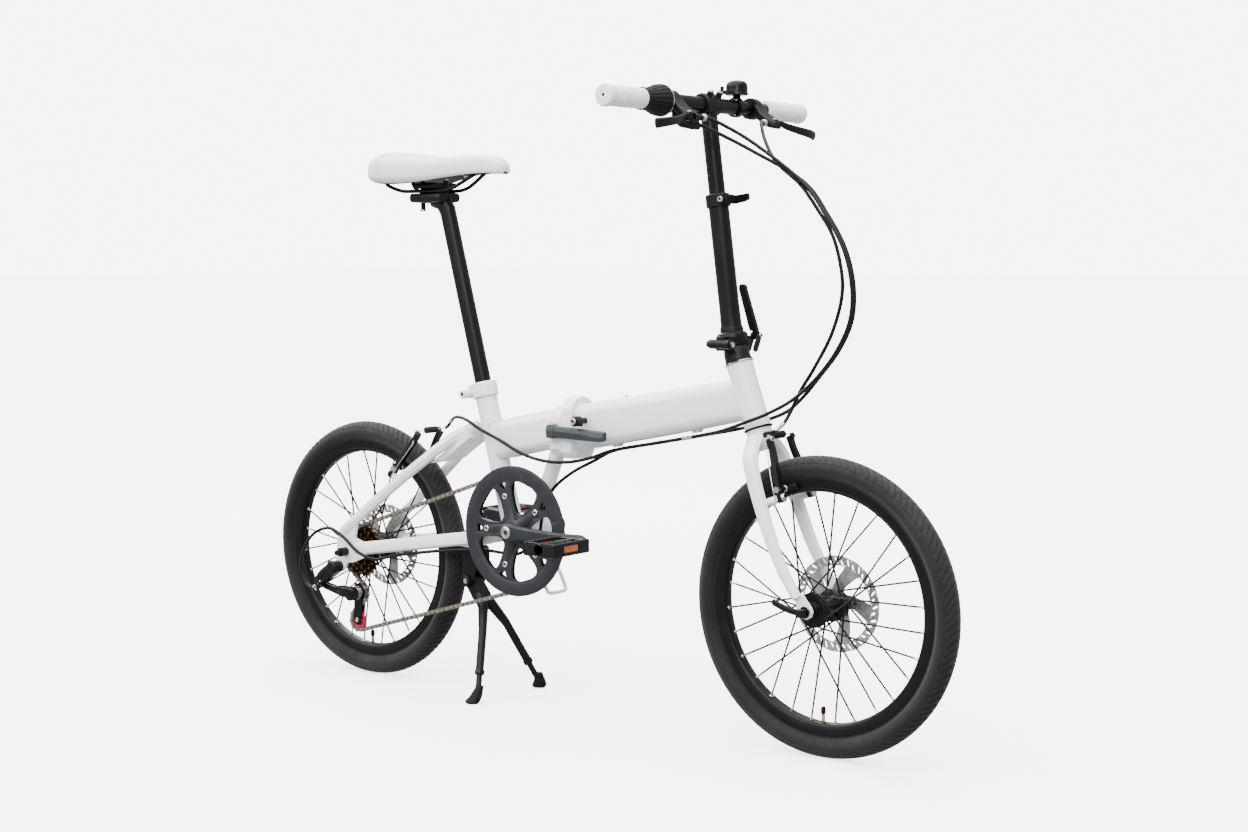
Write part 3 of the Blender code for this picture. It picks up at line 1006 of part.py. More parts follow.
front_brake = [(0.3358, 0.0922, 1.0390), (0.3440, 0.0760, 1.0345), (0.3720, 0.0470, 1.0050),
               (0.4130, 0.0200, 0.9680), (0.4720, 0.0, 0.9310)]
front_brake += [(0.5023, 0.004, 0.8916), (0.5332, 0.005, 0.8452), (0.5490, 0.006, 0.7864),
                (0.5476, 0.006, 0.7418), (0.5295, 0.005, 0.6870), (0.5000, 0.002, 0.6345)]
front_brake += [(0.4760, 0.000, 0.5980), (0.4610, -0.002, 0.5680), (0.4520, -0.013, 0.5440),
                (0.4460, -0.032, 0.5320), (fb.x + 0.0030, -0.0440, fb.z + 0.0050),
                (fb.x, -0.0390, fb.z)]
cable("front_brake_cable", front_brake, [(fb.x, -0.0384, fb.z), (fb.x, 0.0330, fb.z)])

rear_brake = [(0.3358, -0.0702, 1.0390), (0.3470, -0.0550, 1.0330), (0.3950, -0.0220, 0.9990),
              (0.4770, -0.0035, 0.9360)]
rear_brake += [(x, -0.0035, z) for x, z in LOOP]
rear_brake += [(0.4693, -0.0130, 0.5835), (0.4290, -0.0290, 0.5590), (0.3900, -0.0320, 0.5440),
               (0.3400, -0.0280, 0.5270), (0.2700, -0.0040, 0.5120), (0.1800, -0.0040, 0.4945),
               (0.0880, -0.0045, 0.4765), (0.0489, -0.0180, 0.4620)]
rear_brake += [(0.0000, -0.0240, 0.4515), (-0.0500, -0.0300, 0.4510), (-0.1000, -0.0330, 0.4610),
               (-0.1530, -0.0330, 0.4820), (-0.2020, -0.0320, 0.4990), (-0.2400, -0.0280, 0.5140)]
rear_brake += [(-0.2750, -0.0120, 0.5165), (-0.3100, 0.0120, 0.5120), (-0.3400, 0.0360, 0.5030),
               (rb.x + 0.0045, 0.0440, rb.z + 0.006), (rb.x, 0.0390, rb.z)]
cable("rear_brake_cable", rear_brake, [(rb.x, 0.0384, rb.z), (rb.x, -0.0330, rb.z)])

gear = [(0.3240, -0.0735, 1.0280), (0.3380, -0.0580, 1.0200), (0.3900, -0.0200, 0.9870),
        (0.4765, 0.0035, 0.9355)]
gear += [(x, 0.0035, z) for x, z in LOOP]
gear += [(0.4693, 0.0130, 0.5835), (0.4290, 0.0290, 0.5590), (0.3900, 0.0320, 0.5440),
         (0.3400, 0.0280, 0.5270), (0.2700, 0.0040, 0.5120), (0.1800, 0.0040, 0.4945),
         (0.0880, 0.0035, 0.4765), (0.0480, -0.0080, 0.4560)]
gear += [(0.0050, -0.0200, 0.4320), (-0.0350, -0.0240, 0.4000), (-0.0620, -0.0200, 0.3550),
         (-0.0760, -0.0130, 0.3180), (-0.0930, -0.0110, 0.2940), (-0.1300, -0.0140, 0.2735),
         (-0.1650, -0.0190, 0.2735), (-0.2000, -0.0260, 0.2755), (-0.2620, -0.0360, 0.2712)]
gear += [(-0.3400, -0.0455, 0.2605), (-0.4100, -0.0540, 0.2480), (-0.4450, -0.0690, 0.2400),
         (-0.4800, -0.0790, 0.2520), (-0.5200, -0.0800, 0.2780), (-0.5620, -0.0790, 0.2910)]
gear += [(-0.6120, -0.0780, 0.2700), (-0.6430, -0.0770, 0.2200), (-0.6310, -0.0770, 0.1790),
         (-0.6110, -0.0770, 0.1690), (-0.5965, -0.0770, 0.1756)]
cable("gear_cable", gear)
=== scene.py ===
import json
import math

import bmesh
import bpy
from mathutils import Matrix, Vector
from mathutils.geometry import tessellate_polygon


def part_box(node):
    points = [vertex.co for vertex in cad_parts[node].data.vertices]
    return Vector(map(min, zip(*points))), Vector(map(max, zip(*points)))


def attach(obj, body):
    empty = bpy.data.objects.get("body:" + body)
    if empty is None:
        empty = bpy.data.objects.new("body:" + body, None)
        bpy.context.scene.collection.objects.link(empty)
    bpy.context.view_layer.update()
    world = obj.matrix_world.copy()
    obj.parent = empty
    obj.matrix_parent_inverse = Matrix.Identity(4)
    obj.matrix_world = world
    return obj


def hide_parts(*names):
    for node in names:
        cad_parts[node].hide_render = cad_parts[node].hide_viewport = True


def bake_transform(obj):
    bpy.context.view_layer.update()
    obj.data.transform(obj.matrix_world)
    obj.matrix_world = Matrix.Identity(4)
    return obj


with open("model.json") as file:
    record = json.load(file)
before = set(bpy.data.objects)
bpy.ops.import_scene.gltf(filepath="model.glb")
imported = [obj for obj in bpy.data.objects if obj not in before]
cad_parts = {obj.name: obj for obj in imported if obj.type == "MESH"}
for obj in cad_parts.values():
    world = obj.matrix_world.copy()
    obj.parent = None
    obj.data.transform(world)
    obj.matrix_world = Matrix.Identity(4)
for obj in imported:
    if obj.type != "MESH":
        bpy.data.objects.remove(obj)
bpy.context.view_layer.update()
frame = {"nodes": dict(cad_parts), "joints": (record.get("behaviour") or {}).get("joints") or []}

# The looks of a white folding bicycle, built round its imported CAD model.
# X forward, Y to its left, Z up, metres.
NODES = frame["nodes"]
JOINTS = {j["name"]: j for j in frame["joints"]}
X, Y, Z = Vector((1, 0, 0)), Vector((0, 1, 0)), Vector((0, 0, 1))
ORIGIN = Vector((0, 0, 0))


def pivot(joint):
    """Where a joint turns or slides, from the frame."""
    return Vector(JOINTS[joint]["pos_m"])


# ---------------------------------------------------------------- driving places, from the frame
FRONT_HUB = pivot("front_wheel_spin")
REAR_HUB = pivot("rear_wheel_spin")
BB = pivot("crank_spin")
LATCH_PIN = pivot("frame_latch_lever")
CATCH_PIN = pivot("safety_catch_turn")
STAND_PIN = pivot("stand_swing")
POST_PIN = pivot("post_fold")
LATCH2 = pivot("post_latch_lever")
BAR_C = pivot("gear_twist")
JOCKEY_TOP = pivot("jockey_upper_spin")
JOCKEY_LOW = pivot("jockey_lower_spin")
STEER = Vector(JOINTS["steering"]["axis"]).normalized()
STEER_N = Vector((STEER.z, 0, -STEER.x))
POST = Vector(JOINTS["post_height"]["axis"]).normalized()
POST_N = Vector((POST.z, 0, -POST.x))
SEAT = Vector(JOINTS["seat_height"]["axis"]).normalized()
SEAT_N = Vector((SEAT.z, 0, -SEAT.x))
STAY = Vector((0.58, 0, 0.8146)).normalized()      # from the rear hub out to the brake
STAY_N = Vector((-STAY.z, 0, STAY.x))
HEAD_TOP = pivot("steering")                       # top of the head tube
HEAD_LEN = 0.112
SEAT_TOP = Vector((-0.2165, 0, 0.556))             # top of the seat tube
POST_FOOT = Vector((POST_PIN.x, 0, POST_PIN.z))
HANGER = Vector((-0.5427, 0, 0.217))               # where the derailleur hangs
BAR_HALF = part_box("grip_left")[1].y
WHEEL_R = REAR_HUB.z                               # the tyres stand on the floor
CHAIN_Y = JOCKEY_TOP.y
RING_TEETH, COG_TEETH, JOCKEY_TEETH = 52, 20, 10
LINK = 0.0127                                      # a half-inch chain
CRANK = pivot("pedal_right_spin").x - BB.x
GUARD_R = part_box("crankset")[1].z - BB.z
BOLT_CIRCLE = 0.065
ARMS = 5                                           # of the crank spider
SPOKES, SPOKE_R = 28, 0.0016


def steer(s, e=0.0, y=0.0):
    """A point by its height along the steering axis above the head tube, and its distance ahead of it."""
    return HEAD_TOP + STEER * s + STEER_N * e + Y * y


def seat_at(s, e=0.0, y=0.0):
    """The same up the seat tube from its top."""
    return SEAT_TOP + SEAT * s + SEAT_N * e + Y * y


def post_at(h, e=0.0, y=0.0):
    """The same up the handlebar post from its hinge."""
    return POST_FOOT + POST * h + POST_N * e + Y * y


def around(centre, r, angle, y=0.0):
    """A point at a distance and an angle round an axle, y to its left."""
    return centre + Vector((r * math.cos(angle), y, r * math.sin(angle)))


def angles(n, shift=0.0):
    """n even angles round a circle, shifted by a share of a step."""
    return [2 * math.pi * (k + shift) / n for k in range(n)]


# ---------------------------------------------------------------- shapes: each returns (points, faces)
def side_axes(axis):
    """Two directions square to an axis and to each other."""
    axis = axis.normalized()
    u = (Y if abs(axis.y) < 0.9 else Z).cross(axis).normalized()
    return u, axis.cross(u)


def loft(rings, closed=False):
    """Skin between rings of points, capped unless the rings close on themselves."""
    n, verts, faces = len(rings[0]), [p for r in rings for p in r], []
    for i in range(len(rings) if closed else len(rings) - 1):
        a, b = i * n, (i + 1) % len(rings) * n
        faces += [(a + k, a + (k + 1) % n, b + (k + 1) % n, b + k) for k in range(n)]
    if not closed:
        faces += [tuple(range(n - 1, -1, -1)), tuple((len(rings) - 1) * n + k for k in range(n))]
    return verts, faces


def lathe(profile, origin, axis, seg=48):
    """Turn a closed profile of (radius, height) points about an axis."""
    u, v = side_axes(axis)
    axis, verts, rows, faces = axis.normalized(), [], [], []
    for r, h in profile:
        base = origin + axis * h
        if r < 1e-9:
            rows.append([len(verts)] * seg)
            verts.append(base)
        else:
            rows.append(list(range(len(verts), len(verts) + seg)))
            verts += [base + u * (r * math.cos(a)) + v * (r * math.sin(a)) for a in angles(seg)]
    for a, b in zip(rows, rows[1:] + rows[:1]):
        for k in range(seg):
            face = list(dict.fromkeys([a[k], a[(k + 1) % seg], b[(k + 1) % seg], b[k]]))
            if len(face) > 2:
                faces.append(face)
    return verts, faces


def rod(a, b, r, seg=16, r2=None, edge=0.0):
    """A round rod from a to b, with chamfered ends if edge is given."""
    a, b = Vector(a), Vector(b)
    h, r2 = (b - a).length, r if r2 is None else r2
    if edge:
        profile = [(0, 0), (r - edge, 0), (r, edge), (r2, h - edge), (r2 - edge, h), (0, h)]
    else:
        profile = [(0, 0), (r, 0), (r2, h), (0, h)]
    return lathe(profile, a, b - a, seg)


def ball(c, r, seg=16, squash=1.0, axis=Z):
    """A ball, flattened along its axis by squash."""
    half = seg // 2
    arc = [(r * math.sin(t), -r * squash * math.cos(t)) for t in [math.pi * k / half
                                                                  for k in range(half + 1)]]
    arc[0], arc[-1] = (0, arc[0][1]), (0, arc[-1][1])
    return lathe(arc, Vector(c), axis, seg)


def hoop(c, axis, big, small, seg=32, n=8):
    """A round ring of round section."""
    return lathe([(big + small * math.cos(a), small * math.sin(a)) for a in angles(n)], c, axis, seg)


def plate(loops, origin, u, v, depth):
    """Push a flat outline, with holes, along u x v: depth = (from, to)."""
    w, flat = u.cross(v).normalized(), [p for loop in loops for p in loop]
    tris = tessellate_polygon([[Vector((p[0], p[1], 0)) for p in loop] for loop in loops])
    n, faces, start = len(flat), [], 0
    verts = [origin + u * p[0] + v * p[1] + w * d for d in depth for p in flat]
    faces += [tuple(reversed(t)) for t in tris] + [tuple(i + n for i in t) for t in tris]
    for loop in loops:
        m = len(loop)
        faces += [(start + k, start + (k + 1) % m, start + (k + 1) % m + n, start + k + n)
                  for k in range(m)]
        start += m
    return verts, faces


def circle(r, n, x=0.0, y=0.0):
    """Outline of a circle about a point."""
    return [(x + r * math.cos(a), y + r * math.sin(a)) for a in angles(n)]


def polar_circle(r, n, out, angle):
    """Outline of a small circle whose middle is at a distance and an angle."""
    return circle(r, n, out * math.cos(angle), out * math.sin(angle))


def rounded(w, h, r, k=5):
    """Outline of a rounded rectangle, k points to a corner."""
    out = []
    for i, (sx, sy) in enumerate(((1, 1), (-1, 1), (-1, -1), (1, -1))):
        for j in range(k):
            a = math.pi / 2 * (i + j / (k - 1))
            out.append((sx * (w / 2 - r) + r * math.cos(a), sy * (h / 2 - r) + r * math.sin(a)))
    return out


def capsule(a, b, ra, rb, n=10):
    """Outline round two circles, joined by their tangents."""
    a, b = Vector(a), Vector(b)
    d = math.atan2(b.y - a.y, b.x - a.x)
    t = math.acos(max(-1, min(1, (ra - rb) / (b - a).length)))
    out = [(b.x + rb * math.cos(d - t + 2 * t * k / n), b.y + rb * math.sin(d - t + 2 * t * k / n))
           for k in range(n + 1)]
    s = 2 * math.pi - 2 * t
    return out + [(a.x + ra * math.cos(d + t + s * k / n), a.y + ra * math.sin(d + t + s * k / n))
                  for k in range(n + 1)]


def block(middle, half, r):
    """A block by its middle and half sizes, its upright edges rounded by r."""
    x, y, z = half
    return plate([rounded(2 * x, 2 * y, r, 4)], Vector(middle), X, Y, (-z, z))


def curve(points, steps=8, closed=False):
    """A smooth line through route points (Catmull-Rom)."""
    p = [Vector(q) for q in points]
    p = [p[-1]] + p + p[:2] if closed else [2 * p[0] - p[1]] + p + [2 * p[-1] - p[-2]]
    out = []
    for i in range(1, len(p) - 2):
        for j in range(steps):
            t = j / steps
            out.append(0.5 * ((2 * p[i]) + (p[i + 1] - p[i - 1]) * t
                              + (2 * p[i - 1] - 5 * p[i] + 4 * p[i + 1] - p[i + 2]) * t * t
                              + (3 * p[i] - p[i - 1] - 3 * p[i + 1] + p[i + 2]) * t ** 3))
    return out if closed else out + [p[-2]]


def sweep(path, size, n=16, hint=Y, closed=False):
    """Carry an oval along a path; size is a radius, or size(t) gives its two half-sizes."""
    path, rings, last = [Vector(p) for p in path], [], Vector(hint)
    m = len(path)
    for i, p in enumerate(path):
        d = path[(i + 1) % m] - path[i - 1] if closed else path[min(i + 1, m - 1)] - path[max(i - 1, 0)]
        d.normalize()
        last = (last - d * last.dot(d)).normalized()
        side = last.cross(d)
        a, b = size(i / (m - 1)) if callable(size) else (size, size)
        rings.append([p + side * (a * math.cos(t)) + last * (b * math.sin(t)) for t in angles(n)])
    return loft(rings, closed)


def hexagon(c, axis, r, depth):
    """A hexagonal head or socket."""
    u, v = side_axes(axis)
    return plate([circle(r, 6)], c, u, v, (0, depth))


def bolt(c, axis, r, h):
    """Round cap screw: head, and a socket hexagon that is its own shape, which callers mostly make dark as
    the socket's painted shade.
    """
    axis = axis.normalized()
    mouth, floor = r * 0.56, h * 0.45
    profile = [(0, 0), (r, 0), (r, h * 0.72), (r * 0.86, h), (mouth, h), (mouth, floor), (0, floor)]
    head = lathe(profile, c, axis, 24)
    return head, hexagon(c + axis * (h * 0.46), axis, r * 0.5, h * 0.12)


# ---------------------------------------------------------------- materials
DARK_GLOSS = 0.16            # how strongly dark paints mirror the white studio; paler ones use 0.5


def shader_of(name, colour, metal, rough):
    """A new material with its main shader set."""
    mat = bpy.data.materials.new(name)
    mat.use_nodes = True
    shader = mat.node_tree.nodes["Principled BSDF"]
    shader.inputs["Base Color"].default_value = (*colour, 1)
    shader.inputs["Metallic"].default_value = metal
    shader.inputs["Roughness"].default_value = rough
    shader.inputs["Specular IOR Level"].default_value = 0.5 if max(colour) > 0.1 else DARK_GLOSS
    return mat, shader


class Build:
    """Short names for the nodes of one material."""

    def __init__(self, mat, shader, origin=(0, 0, 0)):
        self.tree, self.shader = mat.node_tree, shader
        self.place = self.add("ShaderNodeTexCoord").outputs["Object"]
        if any(origin):
            shift = self.add("ShaderNodeMapping")
            shift.inputs["Location"].default_value = [-c for c in origin]
            self.link(self.place, shift.inputs["Vector"])
            self.place = shift.outputs["Vector"]

    def add(self, kind):
        return self.tree.nodes.new(kind)

    def link(self, a, b):
        self.tree.links.new(a, b)

    def noise(self, scale, detail=4.0, stretch=None):
        node = self.add("ShaderNodeTexNoise")
        node.inputs["Scale"].default_value = scale
        node.inputs["Detail"].default_value = detail
        source = self.place
        if stretch:
            shape = self.add("ShaderNodeMapping")
            shape.inputs["Scale"].default_value = stretch
            self.link(source, shape.inputs["Vector"])
            source = shape.outputs["Vector"]
        self.link(source, node.inputs["Vector"])
        return node.outputs["Fac"]

    def cells(self, scale):
        node = self.add("ShaderNodeTexVoronoi")
        node.inputs["Scale"].default_value = scale
        self.link(self.place, node.inputs["Vector"])
        return node.outputs["Distance"]

    def rings(self, scale, axis="Y"):
        node = self.add("ShaderNodeTexWave")
        node.wave_type, node.rings_direction = "RINGS", axis
        node.inputs["Scale"].default_value = scale
        node.inputs["Distortion"].default_value = 1.5
        self.link(self.place, node.inputs["Vector"])
        return node.outputs["Fac"]

    def band(self, value, low, high, to_low=0.0, to_high=1.0):
        node = self.add("ShaderNodeMapRange")
        for key, number in (("From Min", low), ("From Max", high), ("To Min", to_low),
                            ("To Max", to_high)):
            node.inputs[key].default_value = number
        self.link(value, node.inputs["Value"])
        return node.outputs["Result"]

    def mix(self, factor, one, two):
        node = self.add("ShaderNodeMix")
        node.data_type = "RGBA"
        self.link(factor, node.inputs["Factor"])
        for key, value in ((6, one), (7, two)):
            if isinstance(value, tuple):
                node.inputs[key].default_value = (*value, 1)
            else:
                self.link(value, node.inputs[key])
        return node.outputs[2]

    def axis(self, letter):
        node = self.add("ShaderNodeSeparateXYZ")
        self.link(self.place, node.inputs["Vector"])
        return node.outputs[letter]

    def edges(self):
        """1 along raised edges, 0 on flats."""
        return self.band(self.add("ShaderNodeNewGeometry").outputs["Pointiness"], 0.52, 0.62)

    def shade_in_hollows(self):
        """1 down in grooves, 0 on flats: where painted shade goes."""
        return self.band(self.add("ShaderNodeNewGeometry").outputs["Pointiness"], 0.485, 0.44)

    def bump(self, *layers):
        """Layers of (height, strength, distance), one over another."""
        normal = None
        for height, strength, distance in layers:
            node = self.add("ShaderNodeBump")
            node.inputs["Strength"].default_value = strength
            node.inputs["Distance"].default_value = distance
            self.link(height, node.inputs["Height"])
            if normal:
                self.link(normal, node.inputs["Normal"])
            normal = node.outputs["Normal"]
        self.link(normal, self.shader.inputs["Normal"])

    def colour(self, output):
        self.link(output, self.shader.inputs["Base Color"])

    def rough(self, output):
        self.link(output, self.shader.inputs["Roughness"])


def tint(colour, by):
    """A colour made darker or lighter."""
    return tuple(max(0.0, min(1.0, c * by)) for c in colour)


def paint(name, colour):
    """Gloss enamel: clear coat, orange peel, and a little settled dust."""
    mat, shader = shader_of(name, colour, 0.0, 0.3)
    shader.inputs["Coat Weight"].default_value = 0.7
    shader.inputs["Coat Roughness"].default_value = 0.06
    b = Build(mat, shader)
    cloud = b.band(b.noise(9, 5), 0.35, 0.7)
    b.colour(b.mix(cloud, tint(colour, 0.965), colour))
    b.rough(b.band(b.noise(60, 3), 0.3, 0.7, 0.24, 0.36))
    b.bump((b.noise(420, 2), 0.05, 0.0004), (b.noise(35, 2), 0.04, 0.002))
    return mat


def satin(name, colour, metal=0.3, rough=0.38, edge_lift=1.8, grain=1400, stretch=None):
    """Satin metal or powder coat with fine grain, lighter along raised edges."""
    mat, shader = shader_of(name, colour, metal, rough)
    b = Build(mat, shader)
    base = b.mix(b.band(b.noise(30, 6), 0.3, 0.75), tint(colour, 0.82), tint(colour, 1.15))
    b.colour(b.mix(b.edges(), base, tint(colour, edge_lift)))
    b.rough(b.band(b.noise(55, 4), 0.3, 0.7, rough - 0.07, rough + 0.08))
    b.bump((b.noise(grain, 3, stretch), 0.12, 0.0003))
    return mat


def plastic(name, colour, rough=0.5, pebble=900, depth=0.18):
    """Moulded plastic with a fine spark-eroded texture."""
    mat, shader = shader_of(name, colour, 0.0, rough)
    b = Build(mat, shader)
    b.colour(b.mix(b.band(b.noise(45, 5), 0.3, 0.7), tint(colour, 0.85), tint(colour, 1.2)))
    b.rough(b.band(b.noise(120, 3), 0.3, 0.7, rough - 0.06, rough + 0.08))
    b.bump((b.cells(pebble), depth, 0.0003), (b.noise(pebble * 1.7, 2), depth * 0.6, 0.0002))
    return mat


def rubber(name, colour, rough=0.75):
    """Rubber with a dusty bloom and a fine skin, painted darker down in its grooves as shade."""
    mat, shader = shader_of(name, colour, 0.0, rough)
    shader.inputs["Sheen Weight"].default_value = 0.12
    b = Build(mat, shader)
    bloom = b.band(b.noise(14, 6), 0.35, 0.75)
    skin = b.mix(bloom, tint(colour, 0.8), tint(colour, 1.3))
    # painted shade: grooves and hollows darkened to a quarter of the rubber's colour
    b.colour(b.mix(b.shade_in_hollows(), skin, tint(colour, 0.25)))
    b.rough(b.band(b.noise(80, 4), 0.3, 0.7, rough - 0.12, rough + 0.08))
    b.bump((b.noise(1500, 3), 0.25, 0.0003), (b.noise(160, 3), 0.1, 0.0006))
    return mat


def steel(name, colour=(0.62, 0.62, 0.63), rough=0.26, centre=(0, 0, 0), brushed=0.0):
    """Bare or plated metal; brushed in rings about centre when asked."""
    mat, shader = shader_of(name, colour, 1.0, rough)
    b = Build(mat, shader, centre)
    b.colour(b.mix(b.band(b.noise(70, 6), 0.3, 0.75), tint(colour, 0.7), tint(colour, 1.12)))
    b.rough(b.band(b.noise(300, 4), 0.3, 0.7, rough - 0.08, rough + 0.12))
    if brushed:
        b.bump((b.rings(900), brushed, 0.0002), (b.noise(600, 3), 0.08, 0.0002))
    else:
        b.bump((b.noise(800, 4), 0.08, 0.0002))
    return mat


def leather(name, colour):
    """White synthetic leather: creased grain, soft sheen, faint handling marks."""
    mat, shader = shader_of(name, colour, 0.0, 0.5)
    shader.inputs["Sheen Weight"].default_value = 0.15
    b = Build(mat, shader)
    mark = b.band(b.noise(16, 7), 0.4, 0.75)
    b.colour(b.mix(mark, tint(colour, 0.94), colour))
    b.rough(b.band(b.noise(60, 4), 0.3, 0.7, 0.42, 0.58))
    b.bump((b.cells(620), 0.35, 0.0004), (b.noise(240, 5), 0.2, 0.0006), (b.noise(1600, 2), 0.15, 0.0002))
    return mat


def two_part(name, low, high, split, colour_low, colour_high, rough_low, rough_high):
    """One mesh in two materials, changing over at a height: a rubber foot on a painted leg."""
    mat, shader = shader_of(name, colour_high, 0.0, rough_high)
    b = Build(mat, shader)
    soft = 0.0006
    where = b.band(b.axis("Z"), split - soft, split + soft)
    grain = b.band(b.noise(40, 5), 0.3, 0.7)
    b.colour(b.mix(where, b.mix(grain, tint(colour_low, low), tint(colour_low, high)),
                   b.mix(grain, tint(colour_high, low), tint(colour_high, high))))
    b.rough(b.band(b.axis("Z"), split - soft, split + soft, rough_low, rough_high))
    b.bump((b.noise(1300, 3), 0.2, 0.0003))
    return mat


def lens(name, colour):
    """Moulded amber reflector, each bump cell painted brighter in its middle and darker at its rim as glint
    and shade of the prisms.
    """
    mat, shader = shader_of(name, colour, 0.0, 0.16)
    shader.inputs["Coat Weight"].default_value = 1.0
    shader.inputs["Coat Roughness"].default_value = 0.04
    b = Build(mat, shader)
    # painted glint and shade: lighter cell middles, darker cell rims
    b.colour(b.mix(b.band(b.cells(380), 0.0, 0.5), tint(colour, 1.5), tint(colour, 0.55)))
    b.rough(b.band(b.noise(200, 2), 0.3, 0.7, 0.12, 0.22))
    b.bump((b.cells(380), 0.5, 0.0006))
    return mat


WHITE = paint("white_enamel", (0.865, 0.87, 0.875))
BLACK = satin("black_satin", (0.004, 0.004, 0.0044), 0.0, 0.38, 2.2)
BLACK_GLOSS = satin("black_gloss", (0.0042, 0.0042, 0.0046), 0.0, 0.2, 1.6, 900)
ANODISED = satin("grey_anodised", (0.026, 0.027, 0.03), 0.35, 0.4, 2.0)
LATCH = satin("latch_grey", (0.04, 0.042, 0.048), 0.2, 0.38, 1.5)
BAR_BLACK = satin("bar_black", (0.004, 0.004, 0.0044), 0.0, 0.34, 1.8, 900, (1, 0.08, 1))
RIM_BLACK = satin("rim_black", (0.0055, 0.0055, 0.0059), 0.25, 0.34, 1.8)
PLASTIC = plastic("black_plastic", (0.0055, 0.0055, 0.0059), 0.46)
GRIP_BLACK = plastic("twist_rubber", (0.0063, 0.0063, 0.0067), 0.6, 700, 0.3)
TYRE = rubber("tyre_rubber", (0.0084, 0.0084, 0.0088))
CASING = plastic("cable_casing", (0.005, 0.005, 0.0055), 0.3, 1500, 0.06)
BOOT = rubber("boot_rubber", (0.005, 0.005, 0.005), 0.6)
STEEL = steel("steel")
CHROME = steel("chrome", (0.72, 0.72, 0.73), 0.14)
SPOKE = satin("spoke_black", (0.006, 0.006, 0.0066), 0.0, 0.4, 1.3)
# socket_dark: painted shade in bolt sockets, the grips' end holes and the seat collar's socket; also the own
# black of the head seal and the rods behind the chainring bolts
DARK = satin("socket_dark", (0.0042, 0.0042, 0.0042), 0.3, 0.5, 1.4)
CHAIN = steel("chain_nickel", (0.3, 0.26, 0.2), 0.3)
BRONZE = steel("bronze_cogs", (0.3, 0.165, 0.06), 0.34)
COG_DARK = steel("dark_cogs", (0.021, 0.0189, 0.0168), 0.4)
COPPER = steel("copper", (0.55, 0.22, 0.11), 0.25)
BRASS = steel("brass", (0.42, 0.28, 0.14), 0.35)
RED = satin("red_pulley", (0.28, 0.006, 0.035), 0.2, 0.28, 1.5)
AMBER = lens("amber_reflector", (0.5, 0.085, 0.003))
LEATHER = leather("saddle_leather", (0.88, 0.88, 0.885))
GRIP_WHITE = plastic("grip_white", (0.93, 0.93, 0.932), 0.55, 420, 0.3)
THREAD = plastic("seam_thread", (0.42, 0.42, 0.43), 0.7, 2000, 0.3)
STAND = two_part("stand_paint", 0.85, 1.2, 0.031, (0.007, 0.007, 0.007), (0.0055, 0.0055, 0.006),
                 0.8, 0.42)


# ---------------------------------------------------------------- making pieces
def put(name, body, material, *shapes, node="", bevel=0.0, angle=38, subdivide=0):
    """One visible piece of several closed shapes, riding on a body; node is the CAD node it stands for."""
    verts, faces = [], []
    for points, sides in shapes:
        start = len(verts)
        verts += [tuple(p) for p in points]
        faces += [tuple(start + i for i in side) for side in sides]
    mesh = bpy.data.meshes.new(name)
    mesh.from_pydata(verts, [], faces)
    mesh.validate()
    obj = bpy.data.objects.new(name, mesh)
    bpy.context.scene.collection.objects.link(obj)
    outwards(mesh)
    mesh.polygons.foreach_set("use_smooth", [True] * len(mesh.polygons))
    mesh.set_sharp_from_angle(angle=math.radians(angle))
    mesh.materials.append(material)
    if bevel:
        add_bevel(obj, bevel)
    if subdivide:
        mod = obj.modifiers.new("smooth", "SUBSURF")
        mod.levels = mod.render_levels = subdivide
    if body:
        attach(obj, body)
    if node:
        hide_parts(node)
    return obj


def outwards(mesh):
    """Turn every face of a mesh outwards."""
    bm = bmesh.new()
    bm.from_mesh(mesh)
    bmesh.ops.recalc_face_normals(bm, faces=bm.faces)
    bm.to_mesh(mesh)
    bm.free()


def screws(name, sockets, body, metal, places, axis, r, h, *deeper):
    """Cap screws of one size: their heads are one piece, their sockets, dark as painted shade, and anything
    deeper another.
    """
    pairs = [bolt(at, axis, r, h) for at in places]
    put(name, body, metal, *[head for head, socket in pairs])
    put(sockets, body, DARK, *[socket for head, socket in pairs], *deeper)


def add_bevel(obj, width, segments=2):
    """A rounded edge wherever the surface turns sharply."""
    mod = obj.modifiers.new("edge", "BEVEL")
    mod.width, mod.segments = width, segments
    mod.limit_method, mod.angle_limit = "ANGLE", math.radians(38)
    mod.harden_normals = False


def dress(node, material, bevel=0.0004):
    """Give a CAD node its look: welded, softly bevelled and smooth, with its own material."""
    obj = NODES[node]
    mesh = obj.data
    if "custom_normal" in mesh.attributes:
        mesh.attributes.remove(mesh.attributes["custom_normal"])
    mesh.polygons.foreach_set("use_smooth", [True] * len(mesh.polygons))
    for slot in obj.material_slots:
        slot.material = material
    weld = obj.modifiers.new("weld", "WELD")
    weld.merge_threshold = 1e-6
    if bevel:
        add_bevel(obj, bevel)
    split = obj.modifiers.new("split", "EDGE_SPLIT")
    split.split_angle = math.radians(36)
    even = obj.modifiers.new("even", "WEIGHTED_NORMAL")
    even.keep_sharp = True
    return obj


